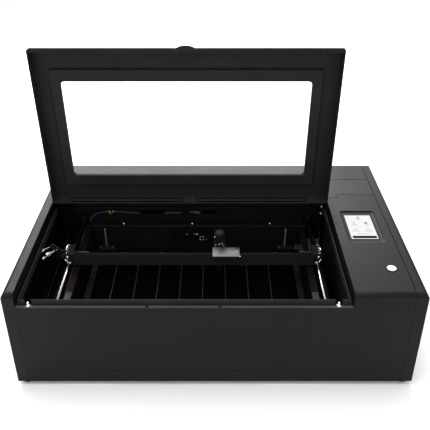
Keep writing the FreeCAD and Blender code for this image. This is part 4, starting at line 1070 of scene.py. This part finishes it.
class LASERCUTTER_OT_walls(Builder, Operator):
    """Finish the chamber walls with their screws, cable, clips and coolant hose"""
    bl_idname = "lasercutter.walls"
    bl_label = "Chamber walls"

    def build(self, scene):
        coat_node("chamber_back_wall", "chamber_coat", 0.3)
        coat_node("console_divider", "chamber_coat", 0.3)
        coat_node("coolant_hose", "hose_silicone")
        form = bmesh.new()
        for across in (-258, -64, 155):
            add_dome_screw(form, (across, 115, 176.0), UP, 3.4, 2.4)
        add_dome_screw(form, (306.3, 94.3, 211), (-1, 0, 0), 4.0, 2.8)
        for up in (226, 203.6):
            add_dome_screw(form, (298.9, 126.0, up), (0, -1, 0), 4.0, 2.5)
        piece("wall_screws", form, "plated_chrome", "root", ("cabinet_screws",))
        blocks("shelf_edge", "rail_anodised", "root", [((-359, 103.6, 174.4), (248, 104.3, 176.2))], 0.2, 1)
        form = bmesh.new()
        for across, up in ((-296, 213.2), (-286, 213.3)):
            add_lathe(form, ring(2.05, 2.9, -1.2, 1.2), (across, 119.2, up), SIDEWAYS, 20)
        add_block(form, (-295.2, 118.2, 204.5), (-292.8, 119.4, 211.0), 0.3)
        piece("hose_ties", form, "tie_yellow", "root")
        form = bmesh.new()
        for phase in (0, math.pi):
            twists = [(across, across * 0.42 + phase) for across in range(-142, -96)]
            add_wire(form, [Vector((across, 122.6 + 1.7 * math.cos(angle), 207 + 2.0 * math.sin(angle)))
                            for across, angle in twists], 1.5, 8)
        piece("twisted_cable", form, "hose_silicone", "root")
        form = bmesh.new()
        add_block(form, (-69, 124.4, 204), (-44, 125.9, 211), 0.5)
        lead = smooth_route([(-72, 123.6, 212), (-60, 121.5, 209), (-52, 121.5, 206), (-44, 123.6, 205)])
        add_wire(form, lead, 1.6, 10)
        for across in (-66, -47):
            add_cap_screw(form, (across, 124.4, 207.5), (0, -1, 0), 2.4, 2.2)
        piece("cable_clip", form, "zinc_steel", "root")


class LASERCUTTER_OT_services(Builder, Operator):
    """Finish the laser tube, exhaust, electronics, water tank and mains pieces"""
    bl_idname = "lasercutter.services"
    bl_label = "Services"

    def build(self, scene):
        LASERCUTTER_OT_gantry.mirror("rear_mirror", "root", Vector((MIRROR_X, TUBE_Y, RAY_Z)), 45,
                                     "rear_mirror_mount")
        for node, edge in (("tube_clamps", 0.5), ("exhaust_fan_frame", 0.6), ("exhaust_rotor", 0.3),
                           ("exhaust_duct", 0.4), ("power_inlet", 0.4), ("mains_switch", 0.3)):
            coat_node(node, "black_plastic", edge)
        coat_node("high_voltage_supply", "plate_aluminium", 0.8)
        coat_node("controller_board", "board_mask", 0.2)
        coat_node("water_tank", "tank_plastic", 1.2)
        tube_end = (span("laser_tube")[0].x, TUBE_Y, RAY_Z)
        turned("glass_tube", "tube_glass", "root",
               [(4, 0), (9, 0), (9, 10), (16, 14), (27, 22), (30, 34), (30, 766), (27, 778), (16, 786),
                (9, 790), (9, 800), (4, 800), (4, 0)], [tube_end], SIDEWAYS, ("laser_tube",), steps=56)
        turned("inner_tube", "coolant", "root", ring(10.0, 12.0, 60, 740), [tube_end], SIDEWAYS)
        form = bmesh.new()
        for start in (26, 760):
            add_lathe(form, [(6, start), (14, start), (15, start + 2), (15, start + 16), (14, start + 18),
                             (6, start + 18), (6, start)], tube_end, SIDEWAYS)
        piece("electrodes", form, "brass_gold", "root")
        form = bmesh.new()
        for across in (353, 401):
            for up in (38.5, 71.5):
                add_dome_screw(form, (across, 303.1, up), BACKWARD, 2.4, 1.3)
        duct_x, duct_z, circle = -65, 78, 54
        for step in range(4):
            angle = math.radians(45 + 90 * step)
            spot = (duct_x + circle * math.cos(angle), 303.0, duct_z + circle * math.sin(angle))
            add_dome_screw(form, spot, BACKWARD, 2.2, 1.2)
        piece("rear_fitting_screws", form, "zinc_steel", "root")


class LASERCUTTER_OT_stage(Builder, Operator):
    """Set the pale floor, the studio lights and the camera"""
    bl_idname = "lasercutter.stage"
    bl_label = "Stage"

    def build(self, scene):
        stage = scene.cutter_stage
        shader("pale_floor", (0.94, 0.94, 0.94), 0.9)
        bpy.ops.mesh.primitive_plane_add(size=30, location=(0, 0, 0))
        floor = bpy.context.object
        floor.name = "floor"
        floor.data.materials.append(made["pale_floor"])
        world = bpy.data.worlds.new("surround")
        world.use_nodes = True
        world.node_tree.nodes["Background"].inputs["Color"].default_value = (1, 1, 1, 1)
        world.node_tree.nodes["Background"].inputs["Strength"].default_value = stage.sky
        scene.world = world
        for name, place, aim, wide, deep, power in (
                ("key", (-0.3, -0.1, 2.6), (0, 0, 0.2), 2.2, 1.6, stage.key_power),
                ("rear", (-0.5, 2.6, 1.9), (0, 0.1, 0.2), 3.2, 1.4, stage.rear_power),
                ("front", (-1.8, -2.0, 1.5), (0, 0, 0.3), 2.0, 1.2, stage.front_power)):
            lamp = bpy.data.lights.new(name, "AREA")
            lamp.shape = "RECTANGLE"
            lamp.size, lamp.size_y, lamp.energy = wide, deep, power
            light = bpy.data.objects.new(name, lamp)
            light.location = place
            light.rotation_euler = (Vector(aim) - Vector(place)).to_track_quat("-Z", "Y").to_euler()
            scene.collection.objects.link(light)
        lens = bpy.data.cameras.new("camera")
        lens.lens, lens.sensor_width = stage.lens, 36
        lens.clip_start, lens.clip_end = 0.01, 50
        camera = bpy.data.objects.new("camera", lens)
        camera.location = stage.camera_place
        camera.rotation_euler = (stage.camera_pitch, 0, 0)
        scene.collection.objects.link(camera)
        scene.camera = camera
        scene.view_settings.view_transform = "Standard"


# ---------------------------------------------------------------- panel and main

PIECES = (LASERCUTTER_OT_materials, LASERCUTTER_OT_casing, LASERCUTTER_OT_console, LASERCUTTER_OT_lid,
          LASERCUTTER_OT_bed, LASERCUTTER_OT_drive, LASERCUTTER_OT_gantry, LASERCUTTER_OT_head,
          LASERCUTTER_OT_walls, LASERCUTTER_OT_services, LASERCUTTER_OT_stage)
SETTINGS = (("cutter_finishes", CutterFinishes), ("cutter_sizes", CutterSizes), ("cutter_stage", CutterStage))


class LASERCUTTER_PT_pieces(Panel):
    """The laser cutter's pieces and sizes"""
    bl_idname = "LASERCUTTER_PT_pieces"
    bl_label = "Laser Cutter"
    bl_space_type = "VIEW_3D"
    bl_region_type = "UI"
    bl_category = "Laser Cutter"

    def draw(self, context):
        for name, settings in SETTINGS:
            box = self.layout.box()
            for key in settings.__annotations__:
                box.prop(getattr(context.scene, name), key)
        for operator in PIECES:
            self.layout.operator(operator.bl_idname)


def register():
    for kind in (*(settings for name, settings in SETTINGS), *PIECES, LASERCUTTER_PT_pieces):
        bpy.utils.register_class(kind)
    for name, settings in SETTINGS:
        setattr(bpy.types.Scene, name, PointerProperty(type=settings))


def unregister():
    for name, settings in SETTINGS:
        delattr(bpy.types.Scene, name)
    for kind in (LASERCUTTER_PT_pieces, *reversed(PIECES), *(settings for name, settings in SETTINGS)):
        bpy.utils.unregister_class(kind)


def main():
    register()
    for operator in PIECES:
        group, name = operator.bl_idname.split(".")
        getattr(getattr(bpy.ops, group), name)()


if __name__ == "__main__":
    main()
